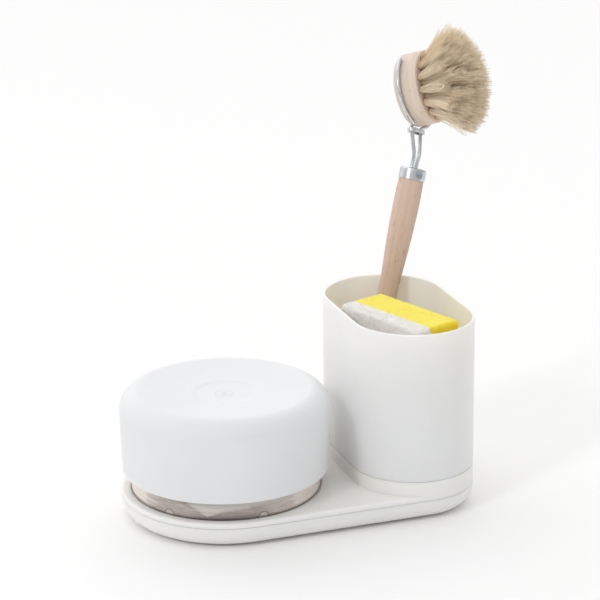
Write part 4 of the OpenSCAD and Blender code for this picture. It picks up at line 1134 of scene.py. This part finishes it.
class CADDY_OT_bristles(bpy.types.Operator):
    """Grow the bristles from the head's tufts"""
    bl_idname = "caddy.bristles"
    bl_label = "Bristles"

    def execute(self, context):
        look = context.scene.caddy_bristles
        fibre = bristle_finish(look)
        bristles = grown("bristle_fibres", chain("tuft_points", tuft_points()), bristle_tree(), {
            "Fibres per tuft": look.fibres, "Fibre radius": look.fibre, "Length": look.long, "Spread": look.spread,
            "Raggedness": look.ragged, "Seed": look.seed, "Material": fibre}, HEAD_FACE, 180.0)
        settle(bristles, "bristle_tufts", fibre)
        # The middle of each tuft, one tapered solid that stays inside its fibres
        cores = grown("bristle_cores", chain("core_points", tuft_points()), bristle_tree(), {
            "Fibres per tuft": 1, "Tuft radius": 0.0, "Fibre radius": 0.00118, "Length": 0.88 * look.long,
            "Spread": 1.0 + 0.9 * (look.spread - 1.0), "Raggedness": 0.0, "Taper": 2.1, "Closing": 0.98,
            "Sides": 12, "Points": 14, "Seed": look.seed, "Material": fibre}, HEAD_FACE, 60.0)
        attend(cores, "bristle_tufts")
        return {"FINISHED"}


def soft_block(name, low, high, look, flat_side, pores):
    """A rounded block in the sponge's frame, flat on one X side, with pores pressed into the rest."""
    count = [max(2, round((b - a) / look.grid)) for a, b in zip(low, high)]
    index, verts, faces = {}, [], []

    def corner(key):
        if key not in index:
            index[key] = len(verts)
            verts.append([a + (b - a) * k / n for a, b, k, n in zip(low, high, key, count)])
        return index[key]

    for axis in range(3):
        u, v = (axis + 1) % 3, (axis + 2) % 3
        for side in (0, count[axis]):
            for j in range(count[u]):
                for k in range(count[v]):
                    face = []
                    for dj, dk in ((0, 0), (1, 0), (1, 1), (0, 1)):
                        key = [0, 0, 0]
                        key[axis], key[u], key[v] = side, j + dj, k + dk
                        face.append(corner(tuple(key)))
                    faces.append(face if side else face[::-1])
    co = np.array(verts)
    low, high = np.array(low), np.array(high)
    inner_low, inner_high = low + look.corner, high - look.corner
    if flat_side > 0:
        inner_high[0] = high[0]
    else:
        inner_low[0] = low[0]
    core = np.clip(co, inner_low, inner_high)
    away = co - core
    far = np.linalg.norm(away, axis=1)
    turned = far > 1e-9
    normal = np.zeros_like(co)
    normal[turned] = away[turned] / far[turned][:, None]
    co[turned] = core[turned] + normal[turned] * look.corner
    meeting = np.abs(co[:, 0] - (high[0] if flat_side > 0 else low[0])) < 1e-7
    sink, pore = 0.00012, 0.62
    for k in np.nonzero(turned & ~meeting)[0]:
        point = Vector(co[k])
        sag = sink * (noise.noise(point * 55.0) - 0.8)
        cell = noise.voronoi(point * (1.0 / look.cell))[0]
        dip = max(0.0, pore - cell[0]) / pore * (0.5 + 0.5 * noise.noise(point * 240.0))
        co[k] += normal[k] * (sag - pores * dip)
    return mesh_object(name, [SPONGE @ Vector(p) for p in co], faces, 180.0)


class CADDY_OT_sponge(bpy.types.Operator):
    """Make the sponge's foam and its scouring layer"""
    bl_idname = "caddy.sponge"
    bl_label = "Sponge"

    def execute(self, context):
        look = context.scene.caddy_sponge
        yellow = open_cells("foam", look.skin, look.pore, look.cell, cut=look.cut)
        white = open_cells("scourer fibre", look.fibre, look.fibre_deep, look.cell * 0.6, 0.7)
        half, join_x = (FOAM_THICK + SCOURER_THICK) / 2, (SCOURER_THICK - FOAM_THICK) / 2
        wide = SPONGE_W / 2
        foam = soft_block("yellow_foam", (join_x, -wide, 0.0), (half, wide, SPONGE_H), look, -1, 0.0005)
        settle(foam, "sponge_foam", yellow)
        scourer = soft_block("white_scourer", (-half, -wide, 0.0), (join_x, wide, SPONGE_H), look, 1, 0.0002)
        settle(scourer, "sponge_scourer", white)
        source = scourer.data.copy()
        source.transform(SPONGE.inverted())
        fluff = grown("scourer_fibres", source, matted_tree(), {"Material": white}, SPONGE, 180.0)
        attend(fluff, "sponge_scourer")
        fluff.data.materials.clear()
        fluff.data.materials.append(white)
        return {"FINISHED"}


class CADDY_OT_stage(bpy.types.Operator):
    """Lay the floor and set the light and the camera"""
    bl_idname = "caddy.stage"
    bl_label = "Stage"

    def execute(self, context):
        look = context.scene.caddy_stage
        scene = context.scene
        half = 6.0
        floor = mesh_object("floor", [(-half, -half, 0.0), (half, -half, 0.0), (half, half, 0.0), (-half, half, 0.0)],
                            [[0, 1, 2, 3]])
        floor.data.materials.append(moulded("floor paper", look.floor, look.floor, 0.8, 0.9, 400.0, 0.03))

        world = bpy.data.worlds.new("even light")
        world.use_nodes = True
        t = Tree(world.node_tree)
        x, y, z = t.axes(t.value("ShaderNodeTexCoord", output="Generated"))
        glow = look.room[:3]
        for colour, axis, end in ((look.ceiling, z, 1.0), (look.backdrop, y, 1.0), (look.left, x, -1.0),
                                  (look.front, y, -1.0)):
            glow = glow + t.value("ShaderNodeVectorMath", {0: colour[:3], "Scale": t.span(axis, 0.0, end)},
                                  operation="SCALE")
        t.put(world.node_tree.nodes["Background"].inputs["Color"], glow)
        scene.world = world

        key = bpy.data.lights.new("window", "AREA")
        key.shape = "SQUARE"
        key.size = look.width
        key.energy = look.key
        key.color = look.window[:3]
        lamp = bpy.data.objects.new("window", key)
        lamp.location = LAMP_AT
        lamp.rotation_euler = (TARGET - lamp.location).to_track_quat("-Z", "Y").to_euler()
        scene.collection.objects.link(lamp)

        ahead = Vector((math.sin(CAMERA_TURN) * math.cos(CAMERA_RISE), math.cos(CAMERA_TURN) * math.cos(CAMERA_RISE),
                        -math.sin(CAMERA_RISE)))
        right = ahead.cross(Vector((0.0, 0.0, 1.0))).normalized()
        axes = Matrix((right, right.cross(ahead), -ahead)).transposed().to_4x4()
        camera = bpy.data.cameras.new("camera")
        camera.sensor_fit = "HORIZONTAL"
        camera.sensor_width = SENSOR
        camera.lens = SENSOR * LENS_PIXELS / PHOTO_WIDTH
        camera.shift_x, camera.shift_y = (shift / PHOTO_WIDTH for shift in SHIFT_PIXELS)
        camera.clip_end = 50.0
        view = bpy.data.objects.new("camera", camera)
        view.matrix_world = (Matrix.Translation(TARGET - CAMERA_FAR * ahead) @ axes
                             @ Matrix.Rotation(CAMERA_ROLL, 4, "Z"))
        scene.collection.objects.link(view)
        scene.camera = view
        scene.view_settings.view_transform = "Standard"
        return {"FINISHED"}


class CADDY_PT_panel(bpy.types.Panel):
    """Lists the caddy's pieces and their looks"""
    bl_idname = "CADDY_PT_panel"
    bl_label = "Soap dispenser caddy"
    bl_space_type = "VIEW_3D"
    bl_region_type = "UI"
    bl_category = "Caddy"

    def draw(self, context):
        for kind in PIECES:
            self.layout.operator(kind.bl_idname)
        for group in GROUPS:
            look = getattr(context.scene, group)
            box = self.layout.box()
            for key in look.bl_rna.properties.keys():
                if key not in ("rna_type", "name"):
                    box.prop(look, key)


PIECES = (CADDY_OT_tray, CADDY_OT_jar, CADDY_OT_pump, CADDY_OT_spring, CADDY_OT_cap, CADDY_OT_cup, CADDY_OT_handle,
          CADDY_OT_wires, CADDY_OT_head, CADDY_OT_bristles, CADDY_OT_sponge, CADDY_OT_stage)
GROUPS = {"caddy_plastic": CADDY_PG_plastic, "caddy_brush": CADDY_PG_brush, "caddy_bristles": CADDY_PG_bristles,
          "caddy_sponge": CADDY_PG_sponge, "caddy_stage": CADDY_PG_stage}


def register():
    for kind in (*GROUPS.values(), *PIECES, CADDY_PT_panel):
        bpy.utils.register_class(kind)
    for name, kind in GROUPS.items():
        setattr(bpy.types.Scene, name, bpy.props.PointerProperty(type=kind))


def unregister():
    for name in GROUPS:
        delattr(bpy.types.Scene, name)
    for kind in reversed((*GROUPS.values(), *PIECES, CADDY_PT_panel)):
        bpy.utils.unregister_class(kind)


def main():
    register()
    for kind in PIECES:
        getattr(bpy.ops.caddy, kind.bl_idname.split(".")[1])()


if __name__ == "__main__":
    main()
